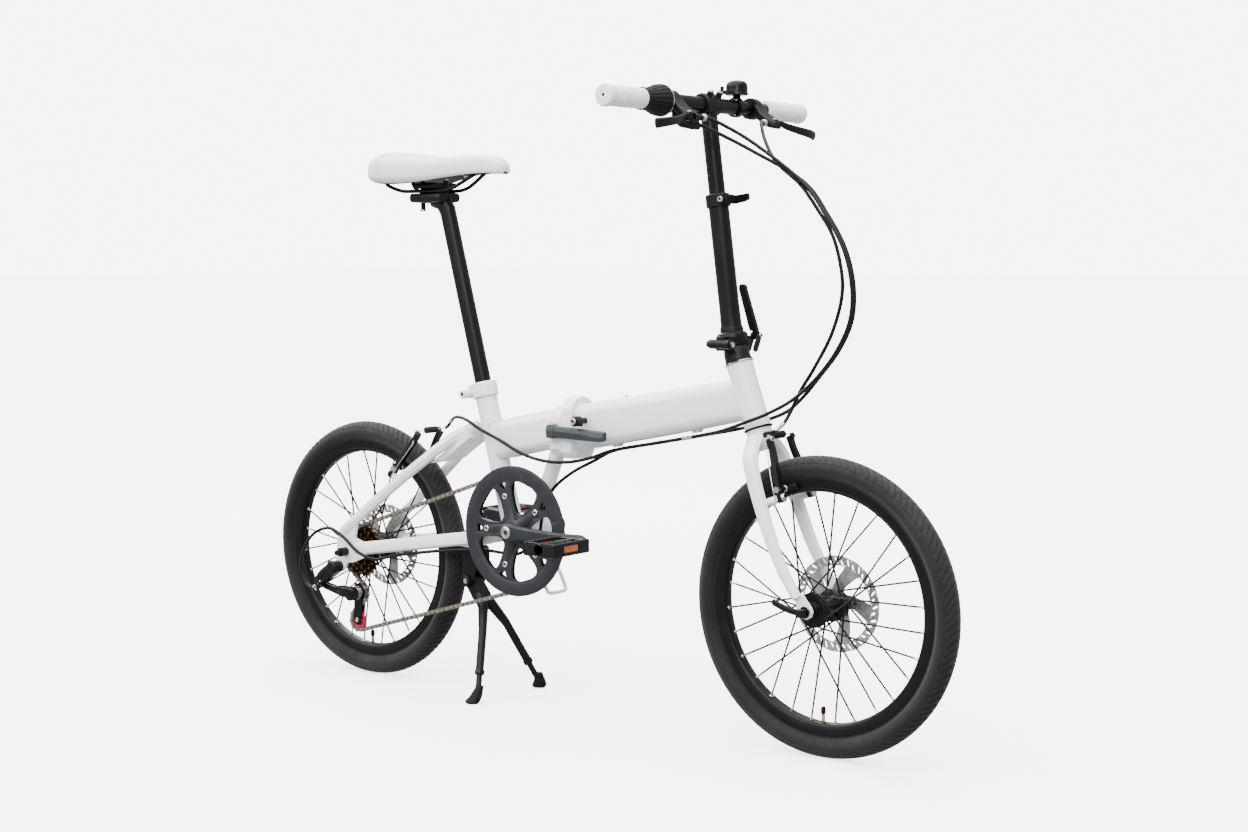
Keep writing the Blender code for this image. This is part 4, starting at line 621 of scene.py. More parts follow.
# ---------------------------------------------------------------- CAD nodes that keep their shape
DRESSED = [            # material, then the CAD nodes that take it, each with the width of its rounded edges
    (WHITE, {"rear_frame": 0.0006, "front_frame": 0.0006, "rear_stays": 0.0005, "fork": 0.0005,
             "seat_collar": 0.0008}),
    (STEEL, {"frame_fold_pin": 0.0005}),
    (STAND, {"stand_legs": 0.0008}),
    (ANODISED, {"left_crank": 0.0008}),
    (RED, {"jockey_lower": 0.0003}),
    (BLACK_GLOSS, {"derailleur": 0.003, "derailleur_cage": 0.0006}),
    (BAR_BLACK, {"seatpost": 0.0008, "upper_post": 0.0008, "handlebar": 0.0006}),
    (PLASTIC, {"lever_bracket_right": 0.0012, "lever_bracket_left": 0.0012, "bell_lever": 0.0008,
               "jockey_upper": 0.0003, "saddle_base": 0.0008}),
    (BLACK, {"safety_catch": 0.0006, "stand_bracket": 0.0012, "post_base": 0.0008, "lower_post": 0.0006,
             "post_latch": 0.001, "post_collar": 0.0008, "collar_lever": 0.0012,
             "brake_lever_right": 0.0006, "brake_lever_left": 0.0006, "front_axle": 0.0005,
             "rear_axle": 0.0005, "axle_lever": 0.0008}),
    (BLACK, {end + "_brake_arm_" + side: 0.001 for end in ("front", "rear")
             for side in ("right", "left")}),
]
for material, nodes in DRESSED:
    for node, edge in nodes.items():
        dress(node, material, edge)


# ---------------------------------------------------------------- wheels
SIPES, SIPE_DEPTH, SIPE_SWEEP = 110, 0.0021, 0.075


def tyre(side, hub):
    """A slick tyre: a round casing, bead ribs, and sipes swept back across each shoulder."""
    half = [(0.2036, 0.008), (0.206, 0.0088), (0.2078, 0.0104), (0.2092, 0.0101), (0.2108, 0.012),
            (0.2124, 0.0118), (0.2146, 0.0158), (0.218, 0.019), (0.2222, 0.0214), (0.2265, 0.0225),
            (0.231, 0.022), (0.2345, 0.0205), (0.2353, 0.0196), (0.2361, 0.0198), (0.2388, 0.018),
            (0.2415, 0.0152), (0.2438, 0.0118), (0.2455, 0.008), (0.2467, 0.004), (WHEEL_R, 0.0)]
    profile = half + [(r, -y) for r, y in half[-2::-1]]
    columns, deep = (0.0, 0.38, 0.46, 0.6, 0.68, 0.86), (0, 0, 1, 1, 0, 0)
    shoulder_r, shoulder_y, tread_y = 0.236, 0.003, 0.019
    rings = []
    for k in range(SIPES):
        for share, low in zip(columns, deep):
            ring = []
            for r, y in profile:
                high = max(0.0, min(1.0, (r - shoulder_r) / 0.0015))
                wide = max(0.0, min(1.0, (abs(y) - shoulder_y) / 0.002))
                back = SIPE_SWEEP * (1 - math.cos(min(1.0, abs(y) / tread_y) * math.pi / 2))
                a = 2 * math.pi * (k + share) / SIPES - back
                ring.append(around(hub, r - SIPE_DEPTH * low * high * wide, a, y))
            rings.append(ring)
    put(side + "_tyre_skin", side + "_wheel", TYRE, loft(rings, True), angle=50, node=side + "_tyre")


def rim(side, hub, flanges):
    """Black box-section rim with its spokes, nipples and valve."""
    body = side + "_wheel"
    outer = [(0.189, 0.0), (0.1891, 0.005), (0.1897, 0.0078), (0.1912, 0.0102), (0.1932, 0.0116),
             (0.1952, 0.012), (0.1957, 0.0117), (0.1962, 0.012), (0.2075, 0.012), (0.208, 0.0116),
             (0.2096, 0.0118), (0.2105, 0.0112), (0.21, 0.0102), (0.204, 0.0086), (0.203, 0.0)]
    section = outer[:-1] + [(0.203, 0.0)] + [(r, -y) for r, y in outer[-2:0:-1]]
    put(side + "_rim_section", body, RIM_BLACK, lathe(section, hub, Y, 168), node=side + "_rim")
    spokes, nipples = [], []
    for k, rim_a in enumerate(angles(SPOKES, 0.5)):
        s = 1 if k % 2 else -1
        outside = 1 if k % 4 < 2 else -1
        lean = math.radians(58 * outside)
        y_hub, r_hub = flanges[s > 0]
        y_hub += 0.0022 * outside
        a = around(hub, r_hub, rim_a + lean, y_hub)
        b = around(hub, 0.1888, rim_a, s * 0.003)
        out = Y * outside
        spokes += [rod(a, b, SPOKE_R, 8), rod(a - out * 0.003, a + out * 0.0004, 0.0011, 8),
                   ball(a + out * 0.0006, 0.0019, 8, 0.6, Y)]
        d = (a - b).normalized()
        nipples += [rod(b - d * 0.002, b + d * 0.0105, 0.0019, 10, 0.0015, 0.0004),
                    rod(b - d * 0.001, b + d * 0.001, 0.003, 10)]
    put(side + "_spokes", body, SPOKE, *spokes)
    put(side + "_nipples", body, CHROME, *nipples)
    foot = hub - Z * 0.1895
    put(side + "_valve", body, BRASS, rod(foot - Z * 0.001, foot + Z * 0.016, 0.003, 16, 0.0026),
        *[hoop(foot + Z * (0.003 + 0.0016 * k), Z, 0.0028, 0.0004, 16, 6) for k in range(8)])
    cap = [rod(foot + Z * 0.014, foot + Z * 0.026, 0.0041, 16, 0.0034, 0.001)]
    for a in angles(12):
        low, high = [foot + Vector((r * math.cos(a), r * math.sin(a), z))
                     for r, z in ((0.0038, 0.015), (0.0036, 0.0235))]
        cap.append(rod(low, high, 0.0005, 6))
    put(side + "_valve_cap", body, PLASTIC, *cap)


def hub_shell(side, hub, profile, flanges):
    """A turned hub with an eyelet at every spoke."""
    body = side + "_wheel"
    put(side + "_hub_shell", body, BLACK_GLOSS, lathe(profile, hub, Y, 64), bevel=0.0004,
        node=side + "_hub")
    holes = []
    for s in (False, True):
        y, r = flanges[s]
        holes += [hoop(around(hub, r, a, y), Y, 0.0016, 0.0005, 12, 6) for a in angles(SPOKES // 2, 0.25)]
    put(side + "_hub_eyelets", body, SPOKE, *holes)


def brake_disc(side, hub, y0):
    """Brake disc: a pierced ring on swept arms, held by six bolts."""
    rim_r, ring_in, thick = 0.08, 0.064, 0.002
    waves, wave, arms, slots = 20, 0.0008, 5, 40
    edge = [(rim_r - wave * (0.5 + 0.5 * math.cos(waves * a)), a) for a in angles(8 * waves)]
    loops = [[(r * math.cos(a), r * math.sin(a)) for r, a in edge], circle(0.0125, 32)]
    for start in angles(arms):
        window = [(ring_in, start + 0.1 + t * 0.062) for t in range(13)]
        window += [(ring_in - 0.006, start + 0.895), (0.048, start + 0.95), (0.036, start + 1.05),
                   (0.027, start + 1.12)]
        window += [(0.0245, start + 1.0), (0.0245, start + 0.8), (0.027, start + 0.66),
                   (0.036, start + 0.44)]
        window += [(0.048, start + 0.24), (ring_in - 0.006, start + 0.12)]
        loops.append([(r * math.cos(a), r * math.sin(a)) for r, a in window])
    for k, a in enumerate(angles(slots)):
        inner, outer = (0.0668, 0.0712) if k % 2 else (0.069, 0.0755)
        one = (inner * math.cos(a), inner * math.sin(a))
        two = (outer * math.cos(a + 0.05), outer * math.sin(a + 0.05))
        loops.append(capsule(one, two, 0.0016, 0.002, 4))
        hole = (0.0011, 6, 0.0772, a + 0.12) if k % 2 else (0.0012, 6, 0.066, a + 0.09)
        loops.append(polar_circle(*hole))
    finish = steel(side + "_disc_steel", (0.6, 0.6, 0.61), 0.24, hub, 0.25)
    put(side + "_disc_plate", side + "_wheel", finish, plate(loops, hub, X, Z, (-y0 - thick, -y0)),
        angle=30, node=side + "_disc")
    places = [around(hub, 0.0185, a, y0 + thick) for a in angles(6, 0.5)]
    screws(side + "_disc_bolts", side + "_disc_sockets", side + "_wheel", CHROME, places, Y,
           0.0034, 0.0022)


FRONT_FLANGES = {False: (-0.031, 0.0262), True: (0.023, 0.024)}
REAR_FLANGES = {False: (-0.0193, 0.0228), True: (0.0295, 0.024)}
front_profile = [(0.006, -0.04), (0.011, -0.04), (0.012, -0.0392), (0.013, -0.034), (0.0285, -0.0332),
                 (0.029, -0.0325), (0.029, -0.0295), (0.0285, -0.0288), (0.0205, -0.0262),
                 (0.018, -0.02), (0.0166, -0.004), (0.018, 0.014), (0.02, 0.0195), (0.0265, 0.0212),
                 (0.027, 0.0218), (0.027, 0.0244), (0.0262, 0.025), (0.021, 0.0275), (0.02, 0.0285),
                 (0.02, 0.0376), (0.0122, 0.0378), (0.0122, 0.043), (0.006, 0.043)]
rear_profile = [(0.006, -0.06), (0.0135, -0.06), (0.0146, -0.059), (0.0146, -0.0225), (0.025, -0.0215),
                (0.0255, -0.0208), (0.0255, -0.0178), (0.025, -0.017), (0.0185, -0.014),
                (0.0168, -0.006), (0.0168, 0.017), (0.0185, 0.0245), (0.0265, 0.0277), (0.027, 0.0284),
                (0.027, 0.0308), (0.0262, 0.0315), (0.0205, 0.0345), (0.02, 0.0352), (0.02, 0.0448),
                (0.0122, 0.045), (0.0122, 0.056), (0.006, 0.056)]
for side, hub, profile, flanges, disc_y in (("front", FRONT_HUB, front_profile, FRONT_FLANGES, 0.0382),
                                            ("rear", REAR_HUB, rear_profile, REAR_FLANGES, 0.0454)):
    tyre(side, hub)
    rim(side, hub, flanges)
    hub_shell(side, hub, profile, flanges)
    brake_disc(side, hub, disc_y)


# ---------------------------------------------------------------- cranks, chainguard and pedals
def pitch(teeth):
    """Pitch radius of a chain wheel."""
    return LINK / 2 / math.sin(math.pi / teeth)


def sprocket(teeth, tip=0.0026, root=0.003):
    """Outline of a sprocket: rounded valleys between short, flat-topped teeth."""
    r, out = pitch(teeth), []
    for k in range(teeth):
        for share, rise in ((-0.5, -root), (-0.32, -root * 0.8), (-0.15, tip * 0.75), (0.0, tip),
                            (0.15, tip * 0.75), (0.32, -root * 0.8)):
            a = 2 * math.pi * (k + share) / teeth
            out.append(((r + rise) * math.cos(a), (r + rise) * math.sin(a)))
    return out


def polar_loop(middle_angle, stations):
    """A smooth closed outline, even about a spoke angle, from (radius, half width) stations."""
    points = stations + [(r, -w) for r, w in stations[-2:0:-1]]
    smooth = curve([(r, w, 0) for r, w in points], 4, True)
    ca, sa = math.cos(middle_angle), math.sin(middle_angle)
    return [(p.x * ca - p.y * sa, p.x * sa + p.y * ca) for p in smooth]


PETAL = [(0.033, 0.0), (0.0345, 0.0075), (0.045, 0.0165), (0.06, 0.026), (0.074, 0.0315),
         (0.084, 0.029), (0.0895, 0.017), (0.0905, 0.0)]
EYE = [(0.076, 0.0), (0.0775, 0.0022), (0.084, 0.007), (0.0885, 0.0085), (0.09, 0.0045), (0.0902, 0.0)]


def windows(grow=0.0):
    """A large opening between the spider's arms and a small one on each arm, grown by a margin."""
    loops = []
    for arm_a in angles(ARMS, 0.5):
        for angle, shape in ((arm_a + math.pi / ARMS, PETAL), (arm_a, EYE)):
            middle_r = (shape[0][0] + shape[-1][0]) / 2
            grown = [(r + (grow if r > middle_r else -grow), w + (grow if w else 0.0)) for r, w in shape]
            loops.append(polar_loop(angle, grown))
    return loops


def chainset():
    """Guard ring and five-armed spider in one casting, with the crank arm and its bolts."""
    flat = plate([circle(GUARD_R, 144)] + windows(), BB, X, Z, (0.0478, 0.0526))
    toothed = plate([sprocket(RING_TEETH)] + windows(0.0012), BB, X, Z,
                    (-CHAIN_Y - 0.0012, -CHAIN_Y + 0.0012))
    put("chainring_teeth", "cranks", COG_DARK, toothed, angle=25, node="chainring")
    lip = lathe([(0.092, 0.0524), (0.0945, 0.0536), (0.115, 0.0536), (0.1176, 0.0526), (0.118, 0.051),
                 (0.115, 0.0508), (0.094, 0.0508)], BB, -Y, 144)
    ribs = []
    for a in angles(ARMS, 0.5):
        along, across = around(ORIGIN, 1, a), around(ORIGIN, 1, a + math.pi / 2)
        rows = []
        for r, w, top in ((0.016, 0.0125, 0.059), (0.03, 0.01, 0.056), (0.045, 0.0082, 0.0545),
                          (0.06, 0.008, 0.0538), (0.068, 0.007, 0.053)):
            rows.append([BB + along * r + across * c - Y * y for c, y in
                         ((-w, 0.05), (-w, top - 0.0022), (-w * 0.7, top - 0.0005), (0, top),
                          (w * 0.7, top - 0.0005), (w, top - 0.0022), (w, 0.05))])
        ribs.append(loft(rows))
    hub_boss = lathe([(0, 0.0455), (0.0215, 0.0455), (0.0225, 0.05), (0.0215, 0.055), (0.018, 0.06),
                      (0, 0.06)], BB, -Y, 48)
    rows = [(-0.017, 0.065, 0.011, 0.012), (-0.015, 0.065, 0.016, 0.023), (-0.008, 0.065, 0.018, 0.031),
            (0.004, 0.065, 0.018, 0.034), (0.016, 0.0655, 0.0165, 0.03), (0.03, 0.067, 0.0145, 0.0255),
            (0.06, 0.07, 0.0132, 0.0228), (0.1, 0.0742, 0.0126, 0.022), (0.134, 0.0775, 0.0125, 0.0225),
            (0.16, 0.0805, 0.0125, 0.0245), (0.174, 0.0818, 0.0125, 0.026),
            (CRANK, 0.082, 0.0125, 0.0262), (0.189, 0.082, 0.0122, 0.021),
            (0.1935, 0.082, 0.011, 0.013), (0.195, 0.082, 0.008, 0.006)]
    arm = loft([[Vector((BB.x + x, p[0] - y, BB.z + p[1])) for p in rounded(w, h, min(w, h) * 0.42, 6)]
                for x, y, w, h in rows])
    axle = rod(BB + Vector((CRANK, -0.08, 0)), BB + Vector((CRANK, -0.188, 0)), 0.0045, 16)
    put("chainset", "cranks", ANODISED, flat, lip, hub_boss, arm, *ribs, axle, bevel=0.0007,
        node="crankset")
    places = [around(BB, BOLT_CIRCLE, a, -0.0528) for a in angles(ARMS, 0.5)]
    screws("chainring_bolts", "chainring_bolt_sockets", "cranks", CHROME, places, -Y, 0.0056, 0.0026,
           *[rod(at + Y * 0.007, at + Y * 0.0146, 0.0044, 12) for at in places])
    face = BB - Y * 0.0738
    ring = [(0.0086, -0.0012), (0.0108, -0.0012), (0.0108, 0.001), (0.01, 0.0016), (0.0086, 0.0012)]
    put("crank_bolt_ring", "cranks", CHROME, lathe(ring, face, -Y, 40))
    screws("crank_bolt", "crank_bolt_socket", "cranks", STEEL, [face + Y * 0.0012], -Y, 0.008, 0.0022)


def pedal(name, body, s, sx):
    """A resin platform pedal: toothed cage, barrel, end caps and amber reflectors."""
    at = Vector((BB.x + sx * CRANK, 0, BB.z))
    half_x, half_y, half_z, teeth = 0.0335, 0.0475, 0.01, 13
    mid, long = at + Y * (s * 0.146), half_x - 0.002
    shapes = []
    for e in (-1, 1):
        top, step = [], half_y / teeth
        for k in range(teeth):
            y = -half_y + step * (2 * k + 1)
            top += [(y - step * 0.9, half_z - 0.0002), (y - step * 0.3, half_z + 0.0019),
                    (y + step * 0.3, half_z + 0.0019), (y + step * 0.9, half_z - 0.0002)]
        edge = top + [(y, -z) for y, z in top[::-1]]
        slot = [(-0.019, -0.0062), (0.019, -0.0062), (0.019, 0.0062), (-0.019, 0.0062)]
        shapes.append(plate([edge, slot], mid + X * (e * (half_x - 0.0024)), Y, Z, (-0.0024, 0.0024)))
        for z in (-1, 1):
            shapes.append(block(mid + Vector((0, e * 0.04, z * 0.008)), (long, 0.0045, 0.0025), 0.001))
        shapes.append(block(mid + Y * (e * 0.0445), (long, 0.003, 0.0085), 0.002))
        shapes.append(block(mid + Y * (e * 0.0215), (long, 0.002, 0.0075), 0.001))
    barrel = lathe([(0, 0.0935), (0.0085, 0.0935), (0.0095, 0.0945), (0.01, 0.1), (0.0105, 0.106),
                    (0.0105, 0.19), (0.0095, 0.1935), (0, 0.1935)], at, Y * s, 32)
    put(name + "_cage", body, PLASTIC, barrel, *shapes, bevel=0.0005, node=name)
    panes, corners = [], ((1, 1), (-1, 1), (-1, -1), (1, -1))
    for e in (-1, 1):
        x = mid.x + e * (half_x - 0.004)
        panes.append(block((x, mid.y, mid.z), (0.003, 0.0186, 0.0058), 0.001))
        for i in range(9):
            for j in range(3):
                y, z = mid.y - 0.016 + 0.004 * i, mid.z - 0.0038 + 0.0038 * j
                base = [Vector((x + e * 0.0029, y + a * 0.0018, z + b * 0.0017)) for a, b in corners]
                tip = [Vector((x + e * 0.0038, y + a * 0.0004, z + b * 0.0004)) for a, b in corners]
                panes.append(loft([base, tip]))
    put(name + "_reflectors", body, AMBER, *panes, angle=20)


chainset()
pedal("pedal_right", "right_pedal", -1, 1)
pedal("pedal_left", "left_pedal", 1, -1)
screws("left_crank_bolt", "left_crank_socket", "cranks", STEEL, [BB + Y * 0.0726], Y, 0.008, 0.0022)


# ---------------------------------------------------------------- chain, freewheel and gear mechanism
def belt(wheels):
    """Centre line of the chain round (centre, pitch radius, turn) in the order it runs, as even points."""
    n, legs, arcs = len(wheels), [], []
    for i in range(n):
        (a, ra, ta), (b, rb, tb) = wheels[i], wheels[(i + 1) % n]
        d = Vector((b.x - a.x, b.z - a.z))
        legs.append(math.atan2(d.y, d.x) - math.asin((ra * ta - rb * tb) / d.length))
    for i, (centre, r, turn) in enumerate(wheels):
        a0, a1 = legs[i - 1] + turn * math.pi / 2, legs[i] + turn * math.pi / 2
        by = (a0 - a1) * turn % (2 * math.pi)
        m = max(8, int(by * 24))
        middle = Vector((centre.x, CHAIN_Y, centre.z))
        arcs += [around(middle, r, a0 - turn * by * k / m) for k in range(m + 1)]
    return arcs


def even_points(path, step):
    """Points at even steps round a closed path; the count is rounded to an even number of links."""
    lengths = [(path[(i + 1) % len(path)] - p).length for i, p in enumerate(path)]
    total = sum(lengths)
    count = 2 * round(total / step / 2)
    out, i, run = [], 0, 0.0
    for k in range(count):
        target = total * k / count
        while run + lengths[i] < target:
            run += lengths[i]
            i += 1
        out.append(path[i].lerp(path[(i + 1) % len(path)], (target - run) / lengths[i]))
    return out


def link_outline(long):
    """Side view of a chain plate: two round ends and a narrower waist."""
    end, waist = 0.0041, 0.003
    half_turn = [-math.pi / 2 + math.pi * j / 6 for j in range(7)]
    far = [(long + end * math.cos(t), end * math.sin(t)) for t in half_turn]
    near = [(-end * math.cos(t), -end * math.sin(t)) for t in half_turn]
    return far + [(long / 2, waist)] + near + [(long / 2, -waist)]


def chain():
    """Outer and inner links by turns, with a pin and a roller at every joint."""
    wheels = [(REAR_HUB, COG_TEETH, 1), (BB, RING_TEETH, 1), (JOCKEY_LOW, JOCKEY_TEETH, 1),
              (JOCKEY_TOP, JOCKEY_TEETH, -1)]
    pins = even_points(belt([(at, pitch(teeth), turn) for at, teeth, turn in wheels]), LINK)
    plates, rollers = [], []
    for k, a in enumerate(pins):
        b = pins[(k + 1) % len(pins)]
        along = (b - a).normalized()
        up = Y.cross(along)
        outline = link_outline((b - a).length)
        out = 0.0026 if k % 2 else 0.0015
        for s in (-1, 1):
            plates.append(plate([outline], a, along, up, sorted((s * out, s * (out + 0.001)))))
        rollers.append(rod(a - Y * 0.0038, a + Y * 0.0038, 0.0016, 8))
        rollers.append(rod(a - Y * 0.0014, a + Y * 0.0014, 0.0037, 10))
    put("chain_links", "rear", CHAIN, *plates, angle=30, node="chain")
    put("chain_rollers", "rear", CHROME, *rollers)


def freewheel():
    """Seven cogs, bronze and dark by turns, on a dark core with its lock ring."""
    cogs, dark = [], []
    for i, teeth in enumerate((26, 24, 22, 20, 18, 16, 14)):
        y = -CHAIN_Y + 0.0046 * (i - 3)
        holes = [circle(0.0158, 32)]
        if teeth > 18:
            holes += [polar_circle(0.0032, 10, pitch(teeth) - 0.0085, a) for a in angles(6, 0.5)]
        shape = plate([sprocket(teeth)] + holes, REAR_HUB, X, Z, (y - 0.0009, y + 0.0009))
        (cogs if i % 2 == 0 else dark).append(shape)
    core = lathe([(0.0155, 0.0262), (0.0225, 0.0262), (0.0225, 0.0565), (0.0215, 0.0572),
                  (0.0155, 0.0572)], REAR_HUB, -Y, 48)
    profile = [(0.0156, 0.056), (0.0195, 0.056), (0.0195, 0.0578), (0.0185, 0.0585), (0.0156, 0.0585)]
    ring = lathe(profile, REAR_HUB, -Y, 40)
    put("freewheel_cogs", "cassette", BRONZE, *cogs, angle=25, node="freewheel")
    put("freewheel_dark_cogs", "cassette", COG_DARK, *dark, core, angle=25)
    put("freewheel_lock_ring", "cassette", STEEL, ring, bevel=0.0003)


def gear_mech():
    """The visible shells of the rear derailleur, on the two CAD bodies."""
    cap = HANGER - Y * 0.085
    dome = [(0, 0), (0.0125, 0), (0.0132, 0.002), (0.0128, 0.006), (0.0105, 0.0082), (0, 0.0086)]
    put("mech_hanger_cap", "rear", BLACK_GLOSS, lathe(dome, cap, -Y, 40))
    elbow = sweep(curve([(HANGER.x - 0.004, -0.0775, HANGER.z - 0.002), (-0.564, -0.078, 0.208),
                         (-0.581, -0.078, 0.196), (-0.589, -0.0775, 0.183), (-0.585, -0.077, 0.172)], 6),
                  lambda t: (0.0112 - 0.0022 * t, 0.012 - 0.0022 * t), 20)
    put("mech_elbow", "rear", BLACK_GLOSS, elbow)
    link = capsule((-0.583, 0.174), (-0.54, 0.166), 0.0056, 0.0068, 8)
    pair = [plate([link], ORIGIN, X, Z, (y, y + 0.003)) for y in (0.058, 0.067)]
    links = put("mech_links", None, BLACK_GLOSS, *pair)
    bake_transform(links)
    sections, centre = [], JOCKEY_TOP + Vector((-0.008, 0, 0.004))
    for y, w, h in ((0.06, 0.03, 0.016), (0.064, 0.042, 0.021), (0.0705, 0.046, 0.023),
                    (0.0745, 0.04, 0.019), (0.076, 0.028, 0.011)):
        outline = rounded(w, h, min(w, h) * 0.48, 7)
        sections.append([Vector((centre.x + x, -y, centre.z + z)) for x, z in outline])
    put("mech_shell", "cage", BLACK_GLOSS, loft(sections), angle=60)
    spring = [JOCKEY_TOP + Vector((0.0128 * math.cos(t), -0.0062 - 0.00045 * t, 0.0128 * math.sin(t)))
              for t in [2 * math.pi * k / 16 for k in range(54)]]
    put("mech_spring", "cage", STEEL, sweep(spring, 0.0009, 8))
    heads = [bolt(Vector((at.x, CHAIN_Y - 0.0056, at.z)), -Y, 0.0042, 0.0016)[0]
             for at in (JOCKEY_TOP, JOCKEY_LOW)]
    put("mech_pulley_bolts", "cage", CHROME, *heads)
    stops = [rod((x, -0.085, z), (x, -0.087, z), 0.0022, 14, None, 0.0004)
             for x, z in ((-0.58, 0.186), (-0.5872, 0.18))]
    put("mech_screws", "rear", CHROME, *stops)
    webs = []
    for a in angles(5):
        inner, outer = [(r * math.cos(a), r * math.sin(a)) for r in (0.0045, 0.0135)]
        arm = capsule(inner, outer, 0.0016, 0.0024, 4)
        webs.append(plate([arm], Vector((JOCKEY_LOW.x, CHAIN_Y, JOCKEY_LOW.z)), X, Z, (-0.0026, 0.0026)))
    put("lower_pulley_web", "pulley_lower", RED, hoop(JOCKEY_LOW, Y, 0.015, 0.0022, 40, 8), *webs)
    barrel = rod((-0.5965, -0.077, 0.1756), (-0.6075, -0.077, 0.1705), 0.0034, 16, 0.004, 0.0006)
    put("barrel_adjuster", "rear", STEEL, barrel)


chain()
freewheel()
gear_mech()


# ---------------------------------------------------------------- saddle
# x, half width, top z, lower edge z: the CAD pad's stations
SADDLE = [(-0.472, 0.03, 0.98, 0.962), (-0.466, 0.052, 0.996, 0.9545), (-0.45, 0.068, 1.006, 0.949),
          (-0.425, 0.0765, 1.009, 0.9455), (-0.395, 0.0775, 1.008, 0.944),
          (-0.36, 0.069, 1.003, 0.9455), (-0.325, 0.052, 0.999, 0.95), (-0.29, 0.038, 0.9985, 0.9555),
          (-0.25, 0.028, 1.0, 0.96), (-0.215, 0.0245, 1.0, 0.962), (-0.19, 0.0225, 0.9965, 0.962),
          (-0.173, 0.0185, 0.989, 0.962), (-0.164, 0.011, 0.978, 0.963)]
SEAM_X = -0.418           # where the cover's rear panel is sewn on


def saddle_section(x):
    """(half width, top, lower edge) of the saddle at x, smoothly between the stations."""
    line = curve([(s[0], s[1], s[2]) for s in SADDLE], 10)
    low = curve([(s[0], s[1], s[3]) for s in SADDLE], 10)
    i = min(range(len(line)), key=lambda k: abs(line[k].x - x))
    return line[i].y, line[i].z, low[i].z


def saddle_ring(x, w, top, low, out=0.0):
    """One cross-section: a crowned top with a shallow central dip, full sides and a tucked-in lower edge."""
    h, ring, flat = top - low, [], min(1.0, w / 0.05)
    for a in angles(40):
        c, s = math.cos(a), math.sin(a)
        y = (w + out) * math.copysign(abs(c) ** 0.72, c)
        if s >= 0:
            dip = 0.0022 * flat * max(0.0, 1 - abs(y) / 0.02)
            z = low + 0.42 * h + (0.58 * h + out) * abs(s) ** 0.62 - dip
        else:
            lift = 0.36 * h * (1 - min(1.0, abs(y) / (0.8 * w)) ** 2)
            z = low + 0.42 * h - (0.42 * h + out) * abs(s) ** 0.55 + lift
        ring.append(Vector((x, y, z)))
    return ring


def saddle():
    """The padded cover, its seam and piping, the two rails and the clamp's nuts."""
    line = curve([(s[0], s[1], s[2]) for s in SADDLE], 5)
    low = curve([(s[0], s[1], s[3]) for s in SADDLE], 5)
    rings = []
    for p, q in zip(line, low):
        groove = -0.0011 * math.exp(-((p.x - SEAM_X) / 0.0022) ** 2)
        rings.append(saddle_ring(p.x, p.y, p.z, q.z, groove))
    pad = put("saddle_cover", "seat", LEATHER, loft(rings), angle=80, node="saddle_pad", subdivide=1)
    stitches = []
    for offset in (-0.0045, 0.0045):
        x = SEAM_X + offset
        w, top, lower = saddle_section(x)
        ring = saddle_ring(x, w, top, lower, 0.0002)
        path = curve(ring[:21], 4)
        for k in range(2, len(path) - 3, 3):
            a, b = path[k], path[k + 2]
            stitches.append(sweep([a, a.lerp(b, 0.5) + (a - Vector((x, 0, lower))).normalized() * 0.0004,
                                   b], 0.0004, 6, X))
    put("saddle_stitches", "seat", THREAD, *stitches)
    edge = []
    for p, q in zip(line[2:-2], low[2:-2]):
        edge.append(Vector((p.x, 0.985 * p.y, q.z + 0.4 * (p.z - q.z))))
    rim_path = edge + [Vector((v.x, -v.y, v.z)) for v in edge[::-1]]
    put("saddle_piping", "seat", LEATHER, sweep(rim_path, 0.0007, 8, Z, True))
    rail_z = 0.936
    half = [(-0.438, 0.036, 0.957), (-0.431, 0.034, 0.947), (-0.408, 0.0245, 0.9375),
            (-0.385, 0.022, rail_z), (-0.345, 0.022, rail_z), (-0.305, 0.022, rail_z),
            (-0.275, 0.02, 0.942), (-0.235, 0.013, 0.962), (-0.217, 0.007, 0.9705)]
    run = half + [(-0.213, 0, 0.9715)] + [(x, -y, z) for x, y, z in half[::-1]]
    put("saddle_wires", "seat", BLACK_GLOSS, sweep(curve(run, 5), 0.0035, 14, Z), node="saddle_rails")
    bolts_x = (-0.374, -0.3145)
    nuts = [hexagon(Vector((x, 0, 0.9555)), Z, 0.0062, 0.0035) for x in bolts_x]
    heads = [rod((x, 0, 0.899), (x, 0, 0.903), 0.0058, 18, None, 0.0006) for x in bolts_x]
    put("seat_clamp_nuts", "seat", STEEL, *nuts, *heads, bevel=0.0004)


# ---------------------------------------------------------------- handlebar
def grips():
    """White sleeves with rings, dots and a flared end."""
    for name, s, y0 in (("grip_right", -1, 0.1785), ("grip_left", 1, 0.163)):
        end = BAR_HALF
        profile = [(0.0114, y0), (0.0158, y0), (0.0166, y0 + 0.0008), (0.0166, y0 + 0.004)]
        y = y0 + 0.006
        while y < end - 0.024:
            profile += [(0.016, y), (0.0164, y + 0.0006), (0.0164, y + 0.0024), (0.016, y + 0.003)]
            y += 0.004
        profile += [(0.0164, end - 0.019), (0.0168, end - 0.016), (0.0178, end - 0.0115),
                    (0.018, end - 0.007), (0.0176, end - 0.003), (0.0162, end - 0.0006), (0.014, end),
                    (0.0034, end), (0.003, end - 0.0006), (0.003, end - 0.0024), (0.0114, end - 0.0026)]
        sleeve = put(name + "_sleeve", "bars", GRIP_WHITE, lathe(profile, BAR_C, Y * s, 56), node=name)
        dots = []
        for row in range(9):
            y = y0 + 0.014 + 0.007 * row
            if y > end - 0.03:
                break
            for a in angles(16, 0.5 * (row % 2)):
                dots.append(ball(around(BAR_C, 0.0164, a, s * y), 0.0013, 8, 0.7, around(ORIGIN, 1, a)))
        put(name + "_dots", "bars", GRIP_WHITE, *dots)
        # a dark disc down in the end's hole: painted shade
        hole = rod(BAR_C + Y * (s * (end - 0.0028)), BAR_C + Y * (s * (end - 0.0021)), 0.0031, 16)
        put(name + "_hole", "bars", DARK, hole)


